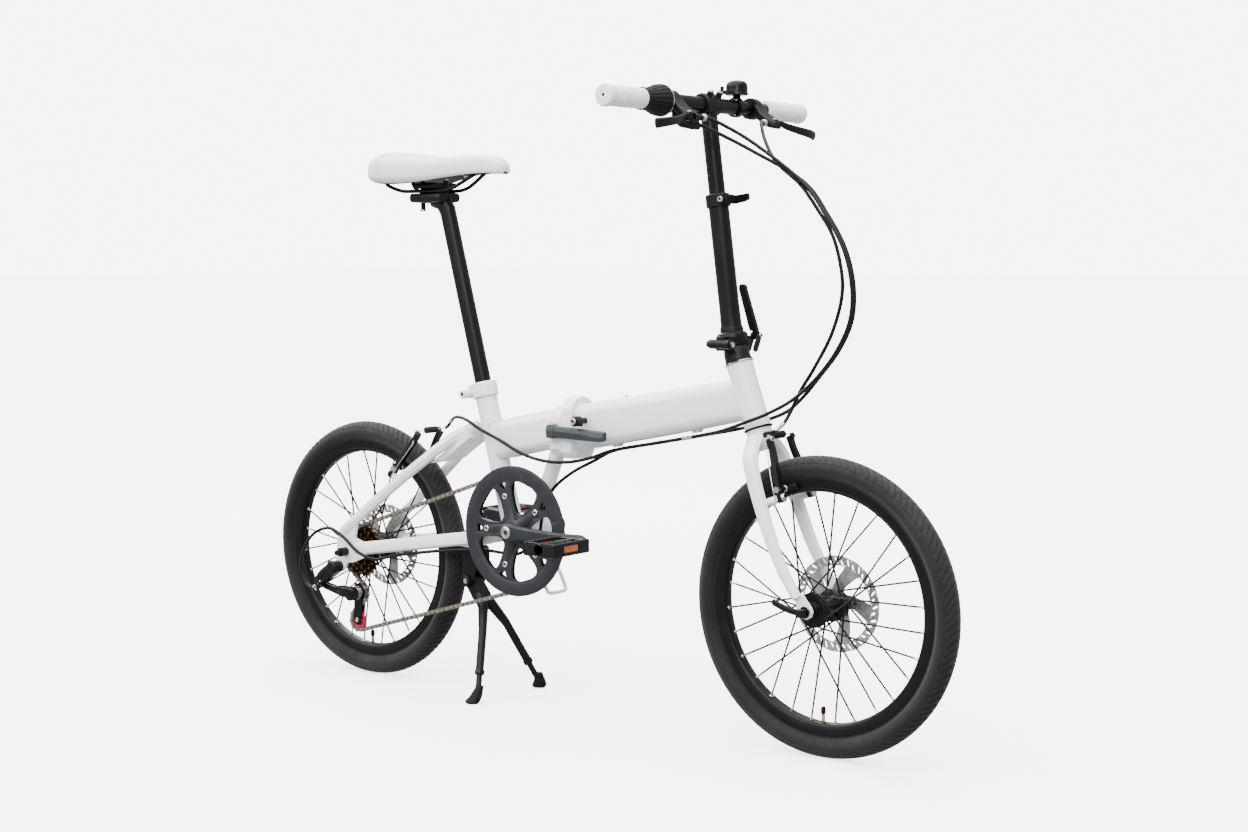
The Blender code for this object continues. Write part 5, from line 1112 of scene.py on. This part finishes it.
def twist_collar():
    """The flared, finger-ribbed gear twister with its silver ring."""
    outer = [(0.178, 0.018), (0.17, 0.0184), (0.164, 0.019), (0.156, 0.0206), (0.148, 0.0232),
             (0.142, 0.025), (0.136, 0.0259), (0.131, 0.0262), (0.129, 0.0262), (0.1262, 0.0254),
             (0.1246, 0.0238), (0.124, 0.0225)]
    n, ribs, rings = 120, 20, []
    for y, r in [(0.178, 0.0114)] + outer + [(0.124, 0.0114)]:
        ring = []
        deep = 0.0012 if 0.13 < y < 0.17 and r > 0.012 else 0.0
        for a in angles(n):
            ring.append(around(BAR_C, r - deep * max(0.0, math.cos(ribs * a)) ** 2, a, -y))
        rings.append(ring)
    put("twist_collar", "shifter", GRIP_BLACK, loft(rings, True), angle=50, node="twist_shifter")
    put("twist_ring", "shifter", CHROME, hoop(BAR_C - Y * 0.1255, Y, 0.0248, 0.0011, 64, 8))
    washer = [(0.0116, 0.1782), (0.0185, 0.1782), (0.0187, 0.179), (0.0116, 0.1785)]
    put("twist_washer", "shifter", PLASTIC, lathe(washer, BAR_C, -Y, 48))


def bell():
    """The bell's dome on its stem and clamp band, with two screws."""
    at = BAR_C + Vector((0.002, 0.08, 0.0))
    dome = [(0, 0.0205), (0.019, 0.0205), (0.0198, 0.0212), (0.0198, 0.0232), (0.0192, 0.024),
            (0.0187, 0.0252), (0.0186, 0.034), (0.018, 0.038), (0.0162, 0.0415), (0.013, 0.0438),
            (0.0085, 0.045), (0.003, 0.0455), (0, 0.0455)]
    band = lathe([(0.0137, -0.006), (0.0162, -0.006), (0.0168, -0.0054), (0.0168, 0.0054),
                  (0.0162, 0.006), (0.0137, 0.006)], at - X * 0.002, Y, 40)
    stem = rod(at + Z * 0.0145, at + Z * 0.0215, 0.0075, 24, 0.006)
    put("bell_dome", "bars", BLACK_GLOSS, lathe(dome, at, Z, 56), band, stem, node="bell")
    screw = at + Vector((-0.016, -0.004, -0.004))
    put("bell_screw", "bars", CHROME, bolt(at + Z * 0.0452, Z, 0.003, 0.001)[0],
        rod(screw, screw - X * 0.0035, 0.0026, 14))


def lever_hardware():
    """Pivot screws, barrel adjusters and the return springs of both brake levers."""
    for side, s, yc in (("right", -1, 0.105), ("left", 1, 0.127)):
        at = BAR_C + Vector((0.044, s * (yc + 0.006), -0.026))
        clamp = BAR_C + Vector((0.0185, s * (yc - 0.0105), -0.006))
        heads = [bolt(at + Z * 0.0068, Z, 0.0042, 0.0018)[0],
                 bolt(at - Z * 0.0068, -Z, 0.0036, 0.0014)[0],
                 bolt(clamp, Vector((0.3, 0, 1)), 0.0036, 0.0026)[0]]
        put("lever_screws_" + side, "bars", CHROME, *heads)
        near = BAR_C + Vector((0.047, s * (yc - 0.034), -0.027))
        far = BAR_C + Vector((0.042, s * (yc - 0.01), -0.027))
        d = (near - far).normalized()
        barrel = [lathe([(0, 0), (0.0052, 0), (0.0056, 0.001), (0.0056, 0.0068), (0.0048, 0.008),
                         (0, 0.008)], near - d * 0.0075, d, 24)]
        knurl = [hoop(near - d * (0.0012 + 0.0017 * k), d, 0.0056, 0.0004, 24, 6) for k in range(4)]
        put("lever_adjuster_" + side, "bars", STEEL, *barrel, *knurl)
        tip = pivot("brake_pull_" + side)
        hook = [tip + Vector((0.002, s * 0.004, 0.0052)), tip + Vector((-0.006, s * 0.01, 0.0058)),
                tip + Vector((-0.01, s * 0.004, 0.0052))]
        put("lever_spring_" + side, "bars", STEEL, sweep(curve(hook, 5), 0.0006, 8, Z))
    places = [BAR_C + Vector((0.016, y, 0.0198)) for y in (-0.0125, 0.0125)]
    screws("stem_bolts", "stem_sockets", "bars", STEEL, places, Vector((0.0065, 0, 0.0105)),
           0.0046, 0.003)
    pod = BAR_C + Vector((0.0252, -0.094, -0.033))
    put("gear_window", "bars", BLACK_GLOSS, block(pod + Z * 0.0105, (0.012, 0.016, 0.0007), 0.003))
    mark = pod + Vector((0, -0.006, 0.01135))
    put("gear_window_mark", "bars", AMBER, block(mark, (0.001, 0.005, 0.00025), 0.0004))


# ---------------------------------------------------------------- folding post and headset
def post_hardware():
    """The folding post's link and latch bolts and pin ends, the headset races and the collar's bolt."""
    link = Vector((0.3325, 0.044, 0.7625))
    screws("post_link_bolt", "post_link_socket", "post_link", COPPER, [link], Y, 0.0052, 0.003)
    latch = LATCH2 + X * 0.0082
    screws("post_latch_bolt", "post_latch_socket", "steering_unit", CHROME, [latch], X, 0.0042, 0.003)
    pin_ends = [bolt(POST_PIN + X * (s * 0.0248), X * s, 0.0046, 0.0016)[0] for s in (-1, 1)]
    put("post_pin_ends", "steering_unit", STEEL, *pin_ends)
    race = [(0.0222, 0.0003), (0.0246, 0.0003), (0.025, 0.001), (0.0246, 0.0017), (0.0222, 0.0017)]
    put("headset_upper_race", "front_half", CHROME, lathe(race, HEAD_TOP, STEER, 64))
    low = lathe([(0.0212, -0.0004), (0.0232, -0.0004), (0.0236, -0.0014), (0.0232, -0.0024),
                 (0.0212, -0.0024)], steer(-HEAD_LEN), STEER, 64)
    put("headset_lower_race", "front_half", STEEL, low)
    collar = post_at(0.2385, 0.0185, -0.019)
    screws("collar_bolt", "collar_bolt_socket", "folding_post", CHROME, [collar], -Y, 0.005, 0.0034)


# ---------------------------------------------------------------- frame details
def bead(points, r=0.0015, closed=True):
    """A rippled weld bead along a seam."""
    path = curve(points, 5, closed)
    n = len(path)

    def ripple(t):
        size = r * (1 + 0.16 * math.sin(t * n * 1.9))
        return size, size
    return sweep(path, ripple, 8, X, closed)


def seam_on_tube(origin, axis, radius, outline, side):
    """The seam between a beam along X and a slanted tube: the beam's outline pushed on to the tube."""
    seam = []
    for y, z in outline:
        reach = math.sqrt(max(0.0, radius * radius - y * y))
        t = (z - origin.z) / axis.z
        centre_x = origin.x + axis.x * t
        seam.append(Vector((centre_x + side * reach / axis.z, y, z)))
    return seam


def beam_outline(z, w, h, r):
    """(y, z) outline of a rounded beam centred at a height."""
    return [(p[0], z + p[1]) for p in rounded(w, h, r, 5)]


def welds():
    """Weld beads round the tube joints of both frame halves and the stays."""
    seat_seam = seam_on_tube(SEAT_TOP, SEAT, 0.0197, beam_outline(0.4825, 0.0385, 0.071, 0.018), 1)
    rear_plate = [Vector((-0.0302, y, z)) for y, z in beam_outline(0.5095, 0.0542, 0.0722, 0.02)]
    rear = [bead(seat_seam, 0.0016), bead(rear_plate, 0.0016)]
    strut = Vector((-0.0385, 0, 0.4725))
    ring = [strut + Vector((0.0125 * math.cos(a), 0.0135 * math.sin(a), 0.008 * math.cos(a)))
            for a in angles(16)]
    rear.append(bead(ring, 0.0014))
    put("rear_welds", "rear", WHITE, *rear, angle=80)
    front_plate = [Vector((0.0185, y, z)) for y, z in beam_outline(0.5133, 0.0542, 0.0828, 0.021)]
    head_seam = seam_on_tube(HEAD_TOP, STEER, 0.0218, beam_outline(0.5765, 0.04, 0.069, 0.016), -1)
    front = [bead(front_plate, 0.0016), bead(head_seam, 0.0016)]
    put("front_welds", "front_half", WHITE, *front, angle=80)
    stays = []
    for s in (-1, 1):
        for x, y, z, r in ((-0.493, 0.0662, 0.2545, 0.009), (-0.504, 0.0664, 0.307, 0.0085)):
            ring = [Vector((x + 0.003 * math.sin(a), s * y + 0.007 * math.cos(a), z + r * math.sin(a)))
                    for a in angles(14)]
            stays.append(bead(ring, 0.001))
    put("stay_welds", "rear", WHITE, *stays, angle=80)


def frame_hardware():
    """Latch pin, catch bolt, rivet nut, the collar bolt's socket in painted shade, guide screws, stand
    fittings, axle rings and nuts.
    """
    heads = [bolt(Vector((LATCH_PIN.x, LATCH_PIN.y, z)), d, 0.0042, 0.0016)
             for z, d in ((0.5236, Z), (0.49, -Z))]
    put("latch_pin_heads", "rear", STEEL, *[h[0] for h in heads])
    screws("catch_bolt", "catch_socket", "catch", CHROME, [CATCH_PIN - Y * 0.0243], -Y, 0.0062, 0.0028)
    rivet = Vector((0.114, 0, 0.5732))
    nut = rod(rivet - Z * 0.0038, rivet, 0.0045, 20, 0.004, 0.0005)
    put("rivet_nut", "front_half", STEEL, nut, hexagon(rivet, Z, 0.003, 0.0022))
    # a flat dark hexagon: the painted shade of the collar bolt's socket
    put("collar_hex", "rear", DARK, hexagon(seat_at(0.0135, -0.0275, -0.0318), -Y, 0.0041, 0.0006))
    clips = [rod((x, -0.009, z), (x, -0.0102, z), 0.0024, 12)
             for x, z in ((0.095, 0.4855), (0.268, 0.52))]
    put("guide_screws", "front_half", STEEL, *clips)
    ends = [bolt(Vector((STAND_PIN.x, s * 0.0194, STAND_PIN.z)), Y * s, 0.0108, 0.0046) for s in (-1, 1)]
    put("stand_pivot_bolts", "rear", BLACK, *[e[0] for e in ends])
    put("stand_pivot_sockets", "rear", STEEL, *[e[1] for e in ends])
    shoes = []
    for foot, fork in (((-0.179, -0.07, 0.01), (-0.208, -0.0225, 0.137)),
                       ((-0.172, 0.096, 0.01), (-0.2045, 0.032, 0.137))):
        a, b = Vector(fork), Vector(foot)
        d = (b - a).normalized()
        at = a.lerp(b, 0.655)
        shoes.append(lathe([(0, -0.004), (0.0086, -0.004), (0.0092, -0.002), (0.0092, 0.003),
                            (0.0074, 0.005), (0, 0.005)], at, d, 28))
        shoes.append(rod(at - d * 0.012 - Y * 0.007, at - d * 0.012 - Y * 0.0092, 0.0022, 12))
    put("stand_rings", "stand", BLACK_GLOSS, *shoes)
    bands = [hoop(FRONT_HUB + Y * y, Y, 0.0092, 0.0007, 28, 6) for y in (-0.0575, 0.059)]
    put("axle_rings", "steering_unit", STEEL, *bands)
    nuts = [hexagon(REAR_HUB + Y * (s * 0.069), Y * s, 0.0086, 0.0085) for s in (-1, 1)]
    put("rear_axle_nuts", "rear", STEEL, *nuts, bevel=0.0005)


# ---------------------------------------------------------------- rim brakes
PAD_R = 0.201      # the middle of the brake pads, from the axle


def brakes():
    """Pivot bolts, return springs, pad shells and the links of both brakes."""
    for end, hub, d, n, n0, body in (("front", FRONT_HUB, STEER, STEER_N, 0.005, "steering_unit"),
                                     ("rear", REAR_HUB, STAY, STAY_N, 0.001, "rear")):
        for side, s in (("right", -1), ("left", 1)):
            arm = end + "_arm_" + side

            def at(y, r, e):
                return hub + d * r + n * e + Y * (s * y)
            place = at(0.0435, 0.187, n0 + 0.0092)
            screws(arm + "_bolt", arm + "_socket", body, CHROME, [place], n, 0.0058, 0.0036)
            washer = lathe([(0.0044, 0), (0.0078, 0), (0.0078, 0.0006), (0.0044, 0.0006)],
                           at(0.0435, 0.187, n0 + 0.0091), n, 28)
            nut = rod(at(0.0455, PAD_R, n0 + 0.0045), at(0.052, PAD_R, n0 + 0.0045), 0.0055, 6)
            cone = rod(at(0.03, PAD_R, n0 + 0.0045), at(0.023, PAD_R, n0 + 0.0045),
                       0.006, 24, 0.0052, 0.0008)
            put(arm + "_hardware", arm, STEEL, washer, nut, cone)
            stations = ((0.0435, 0.18, -0.001), (0.0505, 0.184, -0.002), (0.052, 0.194, -0.002),
                        (0.049, 0.215, -0.0018), (0.0435, 0.24, -0.0018), (0.0385, 0.262, -0.0012),
                        (0.036, 0.2685, 0.002))
            spring = [at(y, r, n0 + e) for y, r, e in stations]
            put(arm + "_spring", arm, CHROME, sweep(curve(spring, 6), 0.0009, 8, n))
            section = ((0.015, 0.005), (0.0216, 0.0043), (0.0216, -0.0043), (0.015, -0.005))
            ribs = [loft([[at(y, PAD_R + z, e) for y, z in section] for e in (e0, e0 + 0.0016)])
                    for e0 in (-0.014, -0.006, 0.017, 0.024)]
            put(arm + "_pad_ribs", arm, BOOT, *ribs, bevel=0.0003)
        clamp = hub + d * 0.284 + n * (n0 + 0.009)
        screws(end + "_cable_clamp", end + "_cable_clamp_socket", end + "_arm_right", CHROME,
               [clamp - Y * 0.03], n, 0.0046, 0.003)
        seat = clamp + d * 0.001 + Y * 0.03
        cradle = rod(seat - n * 0.002, seat + n * 0.0035, 0.0052, 20, None, 0.0006)
        put(end + "_cradle", end + "_arm_left", BLACK, cradle)


def bellows(a, b, r, folds):
    """A ribbed rubber boot between two points."""
    a, b = Vector(a), Vector(b)
    h, profile = (b - a).length, [(0.0011, 0)]
    for k in range(folds):
        profile += [(r * 0.62, h * k / folds), (r, h * (k + 0.5) / folds)]
    profile += [(r * 0.62, h), (0.0011, h)]
    return lathe(profile, a, b - a, 24)


# ---------------------------------------------------------------- cables
CASING_R, WIRE_R = 0.0031, 0.0008
LOOP = [(0.5234, 0.8817), (0.5578, 0.8261), (0.5735, 0.7677), (0.5705, 0.7138), (0.5468, 0.6654),
        (0.5094, 0.6206)]
front_end = FRONT_HUB + STEER * 0.2905 + STEER_N * 0.0095
rear_end = REAR_HUB + STAY * 0.2905 + STAY_N * 0.0055
FRONT_BRAKE = [(0.3358, 0.0922, 1.039), (0.344, 0.076, 1.0345), (0.372, 0.047, 1.005),
               (0.413, 0.02, 0.968), (0.472, 0.0, 0.931), (0.5023, 0.004, 0.8916),
               (0.5332, 0.005, 0.8452), (0.549, 0.006, 0.7864), (0.5476, 0.006, 0.7418),
               (0.5295, 0.005, 0.687), (0.5, 0.002, 0.6345), (0.476, 0.0, 0.598),
               (0.461, -0.002, 0.568), (0.452, -0.013, 0.544), (0.446, -0.032, 0.532),
               (front_end.x + 0.003, -0.044, front_end.z + 0.005), (front_end.x, -0.039, front_end.z)]
REAR_BRAKE = [(0.3358, -0.0702, 1.039), (0.347, -0.055, 1.033), (0.395, -0.022, 0.999),
              (0.477, -0.0035, 0.936)]
REAR_BRAKE += [(x, -0.0035, z) for x, z in LOOP]
REAR_BRAKE += [(0.4693, -0.013, 0.5835), (0.429, -0.029, 0.559), (0.39, -0.032, 0.544),
               (0.34, -0.028, 0.527), (0.27, -0.004, 0.512), (0.18, -0.004, 0.4945),
               (0.088, -0.0045, 0.4765), (0.0489, -0.018, 0.462), (0.0, -0.024, 0.4515),
               (-0.05, -0.03, 0.451), (-0.1, -0.033, 0.461), (-0.153, -0.033, 0.482),
               (-0.202, -0.032, 0.499), (-0.24, -0.028, 0.514), (-0.275, -0.012, 0.5165),
               (-0.31, 0.012, 0.512), (-0.34, 0.036, 0.503),
               (rear_end.x + 0.0045, 0.044, rear_end.z + 0.006), (rear_end.x, 0.039, rear_end.z)]
GEAR = [(0.324, -0.0735, 1.028), (0.338, -0.058, 1.02), (0.39, -0.02, 0.987), (0.4765, 0.0035, 0.9355)]
GEAR += [(x, 0.0035, z) for x, z in LOOP]
GEAR += [(0.4693, 0.013, 0.5835), (0.429, 0.029, 0.559), (0.39, 0.032, 0.544), (0.34, 0.028, 0.527),
         (0.27, 0.004, 0.512), (0.18, 0.004, 0.4945), (0.088, 0.0035, 0.4765), (0.048, -0.008, 0.456),
         (0.005, -0.02, 0.432), (-0.035, -0.024, 0.4), (-0.062, -0.02, 0.355), (-0.076, -0.013, 0.318),
         (-0.093, -0.011, 0.294), (-0.13, -0.014, 0.2735), (-0.165, -0.019, 0.2735),
         (-0.2, -0.026, 0.2755), (-0.262, -0.036, 0.2712), (-0.34, -0.0455, 0.2605),
         (-0.41, -0.054, 0.248), (-0.445, -0.069, 0.24), (-0.48, -0.079, 0.252), (-0.52, -0.08, 0.278),
         (-0.562, -0.079, 0.291), (-0.612, -0.078, 0.27), (-0.643, -0.077, 0.22),
         (-0.631, -0.077, 0.179), (-0.611, -0.077, 0.169), (-0.5965, -0.077, 0.1756)]

# where a cable crosses a joint: the two bodies, then where the first lets go and the second takes over
ABOVE = [("bars", "folding_post", (0, 0, 1.02), (0, 0, 0.925)),
         ("folding_post", "steering_unit", (0, 0, 0.92), (0, 0, 0.75))]
STEERED = ("steering_unit", "front_half", (0, 0, 0.745), (0, 0, 0.6))
FOLDED = ("front_half", "rear", (0.075, 0, 0), (-0.085, 0, 0))


def stretches(route, cuts):
    """Split a smooth route at the first point past each cut; neighbours share that point."""
    line, parts, start = curve(route, 8), [], 0
    for passed in cuts:
        stop = next(i for i in range(start + 1, len(line)) if passed(line[i]))
        parts.append(line[start:stop + 1])
        start = stop
    return parts + [line[start:]]


def cable_piece(name, path, body, blend, node):
    """One stretch of cable, riding on a body, or left in place on no body where it crosses the joint between
    two.
    """
    obj = put(name, None if blend else body, CASING, sweep(path, CASING_R, 12), node=node)
    if blend:
        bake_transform(obj)


def cable_run(name, node, route, cuts, pieces):
    """A whole cable, stretch by stretch; the first one stands for its CAD node."""
    for i, (path, (body, blend)) in enumerate(zip(stretches(route, cuts), pieces)):
        cable_piece(name + "_" + "abcdef"[i], path, body, blend, "" if i else node)


def below(z):
    """A cut where a route first drops under a height."""
    return lambda p: p.z < z


def behind(x):
    """A cut where a route first comes behind a place."""
    return lambda p: p.x < x


def cables():
    """Both brake cables and the gear cable, cut wherever a joint moves them."""
    top = [("", ABOVE[0]), ("", ABOVE[1])]
    cable_run("front_brake_casing", "front_brake_cable", FRONT_BRAKE, [below(0.925), below(0.748)],
              top + [("steering_unit", None)])
    tail = top + [("", STEERED), ("front_half", None), ("", FOLDED), ("rear", None)]
    cuts = [below(0.925), below(0.748), below(0.595), behind(0.085), behind(-0.085)]
    cable_run("rear_brake_casing", "rear_brake_cable", REAR_BRAKE, cuts, tail)
    gear_folded = ("front_half", "rear", (0.08, 0, 0.45), (-0.06, 0, 0.36))
    cuts = [below(0.925), below(0.748), below(0.595), behind(0.085), below(0.335)]
    tail = top + [("", STEERED), ("front_half", None), ("", gear_folded), ("rear", None)]
    cable_run("gear_casing", "gear_cable", GEAR, cuts, tail)


def cable_hardware():
    """Noodles, boots, link wires, ferrules and the clip that holds the loops together."""
    front, rear = curve(FRONT_BRAKE[13:], 8), curve(REAR_BRAKE[-5:], 8)
    front_tube = (front[0], front[1] + (front[1] - front[0]) * 3)
    for end, body, at, s, boot_y, noodle, tube in (
            ("front", "steering_unit", front_end, -1, 0.019, front, front_tube),
            ("rear", "rear", rear_end, 1, 0.016, rear[16:], (rear[14], rear[18]))):
        put(end + "_noodle", body, CHROME, sweep(noodle, 0.003, 16))
        put(end + "_noodle_end", body, STEEL, rod(*tube, 0.0038, 18, None, 0.0006))
        boot = bellows(at + Y * (s * boot_y), at - Y * (s * 0.015), 0.0064, 8)
        put(end + "_bellows", body, BOOT, boot)
        wire = rod(at + Y * (s * 0.039), at - Y * (s * 0.036), WIRE_R, 8)
        put(end + "_link_wire", body, CHROME, wire)
    clip = Vector((0.4757, 0.0, 0.9345))
    run = Vector((0.6, 0, -0.8))
    shells = [hoop(clip + Y * y, run, 0.0034, 0.0011, 20, 8) for y in (-0.0035, 0.0035)]
    put("cable_clip", "bars", PLASTIC, *shells)
    ferrules = []
    for route in (REAR_BRAKE, GEAR):
        line = curve(route, 8)
        for i, p in enumerate(line):
            near = [g for g in (0.089, 0.262) if abs(p.x - g) < 0.004 and p.z < 0.55]
            if near and abs(line[i + 1].x - near[0]) >= abs(p.x - near[0]):
                ferrules.append(rod(p, line[i + 2], 0.0034, 16, None, 0.0005))
                break
    put("guide_ferrules", "front_half", STEEL, *ferrules)


def latch_lever():
    """The frame latch: a square clip at its pin, then a faceted wedge narrowing to its free end."""
    foot = Vector((LATCH_PIN.x, LATCH_PIN.y, 0))
    tip = Vector((0.0985, -0.0465, 0))
    along = (tip - foot).normalized()
    out = Vector((along.y, -along.x, 0))
    out = out if out.y < 0 else -out
    reach = (tip - foot).length
    rows = []
    stations = ((-0.0076, 0.496, 0.5182, 0.0062, 0.509), (-0.0062, 0.495, 0.519, 0.008, 0.509),
                (0.0085, 0.495, 0.519, 0.0082, 0.509), (0.0098, 0.4958, 0.5172, 0.0066, 0.5085),
                (0.03, 0.4956, 0.5166, 0.0072, 0.508), (reach * 0.62, 0.4948, 0.515, 0.0078, 0.506),
                (reach - 0.006, 0.4945, 0.5135, 0.008, 0.502),
                (reach + 0.005, 0.4962, 0.5124, 0.006, 0.503))
    for t, low, high, thick, ridge in stations:
        section = ((-thick * 0.8, low + 0.001), (thick * 0.35, low), (thick * 0.8, low + 0.0016),
                   (thick, ridge), (thick * 0.72, high - 0.0022), (thick * 0.3, high),
                   (-thick * 0.8, high - 0.0008))
        rows.append([foot + along * t + out * c + Z * z for c, z in section])
    put("latch_lever", "latch", LATCH, loft(rows), bevel=0.0007, angle=20, node="frame_latch")
    pin = rod(foot + Z * 0.494, foot + Z * 0.5196, 0.0034, 20, None, 0.0004)
    put("latch_pivot", "latch", STEEL, pin)


def headset():
    """The dark bearing seal under the head tube."""
    low = lathe([(0.019, -0.0027), (0.0234, -0.0027), (0.0242, -0.0018), (0.0242, 0.0006),
                 (0.019, 0.0006)], steer(-HEAD_LEN), STEER, 64)
    put("head_seal", "front_half", DARK, low)


def wire_hoop():
    """The bent wire that guards the crank bearing, one half worked out from the other."""
    half = [(-0.099, 0.024, 0.2995), (-0.09, 0.025, 0.29), (-0.066, 0.026, 0.25),
            (-0.049, 0.0255, 0.218), (-0.045, 0.02, 0.2118)]
    run = [(x, -y, z) for x, y, z in half] + [(-0.045, 0.0, 0.211)] + half[::-1]
    put("bent_wire_hoop", "rear", WHITE, sweep(curve(run, 5), 0.0034, 16), node="wire_hoop")


for part in (latch_lever, headset, saddle, grips, twist_collar, bell, lever_hardware, post_hardware,
             welds, frame_hardware, brakes, cables, cable_hardware, wire_hoop):
    part()


# ---------------------------------------------------------------- stage, light and camera
BACKDROP, GLOW, ROOM, OVERHEAD = 7.0, 2.38, 0.85, 12.0       # strength of backdrop, floor, fill and sun
FOCAL, SENSOR = 56.3, 36.0                                   # millimetres
EYE, DROP, ROLL, TURN = (2.2259, -2.6463, 0.8233), 4.818, 0.08, 38.655


def lamp(name, kind, power, where, target=(0, 0, 0.4), size=1.0):
    """A soft light at a place, turned to its target."""
    data = bpy.data.lights.new(name, kind)
    data.energy = power
    if kind == "SUN":
        data.angle = size
    else:
        data.shape, data.size = "DISK", size
    light = bpy.data.objects.new(name, data)
    bpy.context.scene.collection.objects.link(light)
    light.location = where
    light.rotation_euler = (Vector(target) - Vector(where)).to_track_quat("-Z", "Y").to_euler()


def studio():
    """A pale floor running out to a white backdrop, under one wide soft light and two gentle side lights."""
    half = 60.0
    mesh = bpy.data.meshes.new("floor")
    corners = [(-half, -half, 0), (half, -half, 0), (half, half, 0), (-half, half, 0)]
    mesh.from_pydata(corners, [], [(0, 1, 2, 3)])
    floor = bpy.data.objects.new("floor", mesh)
    bpy.context.scene.collection.objects.link(floor)
    mat, shader = shader_of("floor_white", (0.93, 0.93, 0.93), 0.0, 1.0)
    shader.inputs["Emission Color"].default_value = (1, 1, 1, 1)
    shader.inputs["Emission Strength"].default_value = GLOW
    mesh.materials.append(mat)
    floor.visible_diffuse = False
    floor.visible_glossy = False
    world = bpy.data.worlds.new("studio")
    bpy.context.scene.world = world
    world.use_nodes = True
    tree = world.node_tree
    backdrop = tree.nodes["Background"]
    backdrop.inputs["Color"].default_value = (1.0, 1.0, 1.0, 1)
    backdrop.inputs["Strength"].default_value = BACKDROP
    room = tree.nodes.new("ShaderNodeBackground")
    room.inputs["Color"].default_value = (0.96, 0.98, 1.0, 1)
    room.inputs["Strength"].default_value = ROOM
    rays = tree.nodes.new("ShaderNodeLightPath")
    choose = tree.nodes.new("ShaderNodeMixShader")
    tree.links.new(rays.outputs["Is Camera Ray"], choose.inputs["Fac"])
    tree.links.new(room.outputs["Background"], choose.inputs[1])
    tree.links.new(backdrop.outputs["Background"], choose.inputs[2])
    tree.links.new(choose.outputs["Shader"], tree.nodes["World Output"].inputs["Surface"])
    lamp("overhead", "SUN", OVERHEAD, (-0.6, -1.0, 4.0), size=1.9)
    lamp("front_left", "AREA", 60, (2.6, -3.0, 2.4), size=1.6)
    lamp("back_right", "AREA", 50, (-2.4, 2.6, 2.2), size=1.6)


def camera():
    """The photo's view, fitted to the two wheels: an eye that looks down a little."""
    lens = bpy.data.cameras.new("camera")
    lens.lens, lens.sensor_width = FOCAL, SENSOR
    eye = bpy.data.objects.new("camera", lens)
    bpy.context.scene.collection.objects.link(eye)
    eye.location = EYE
    eye.rotation_euler = [math.radians(a) for a in (90 - DROP, ROLL, TURN)]
    bpy.context.scene.camera = eye


studio()
camera()
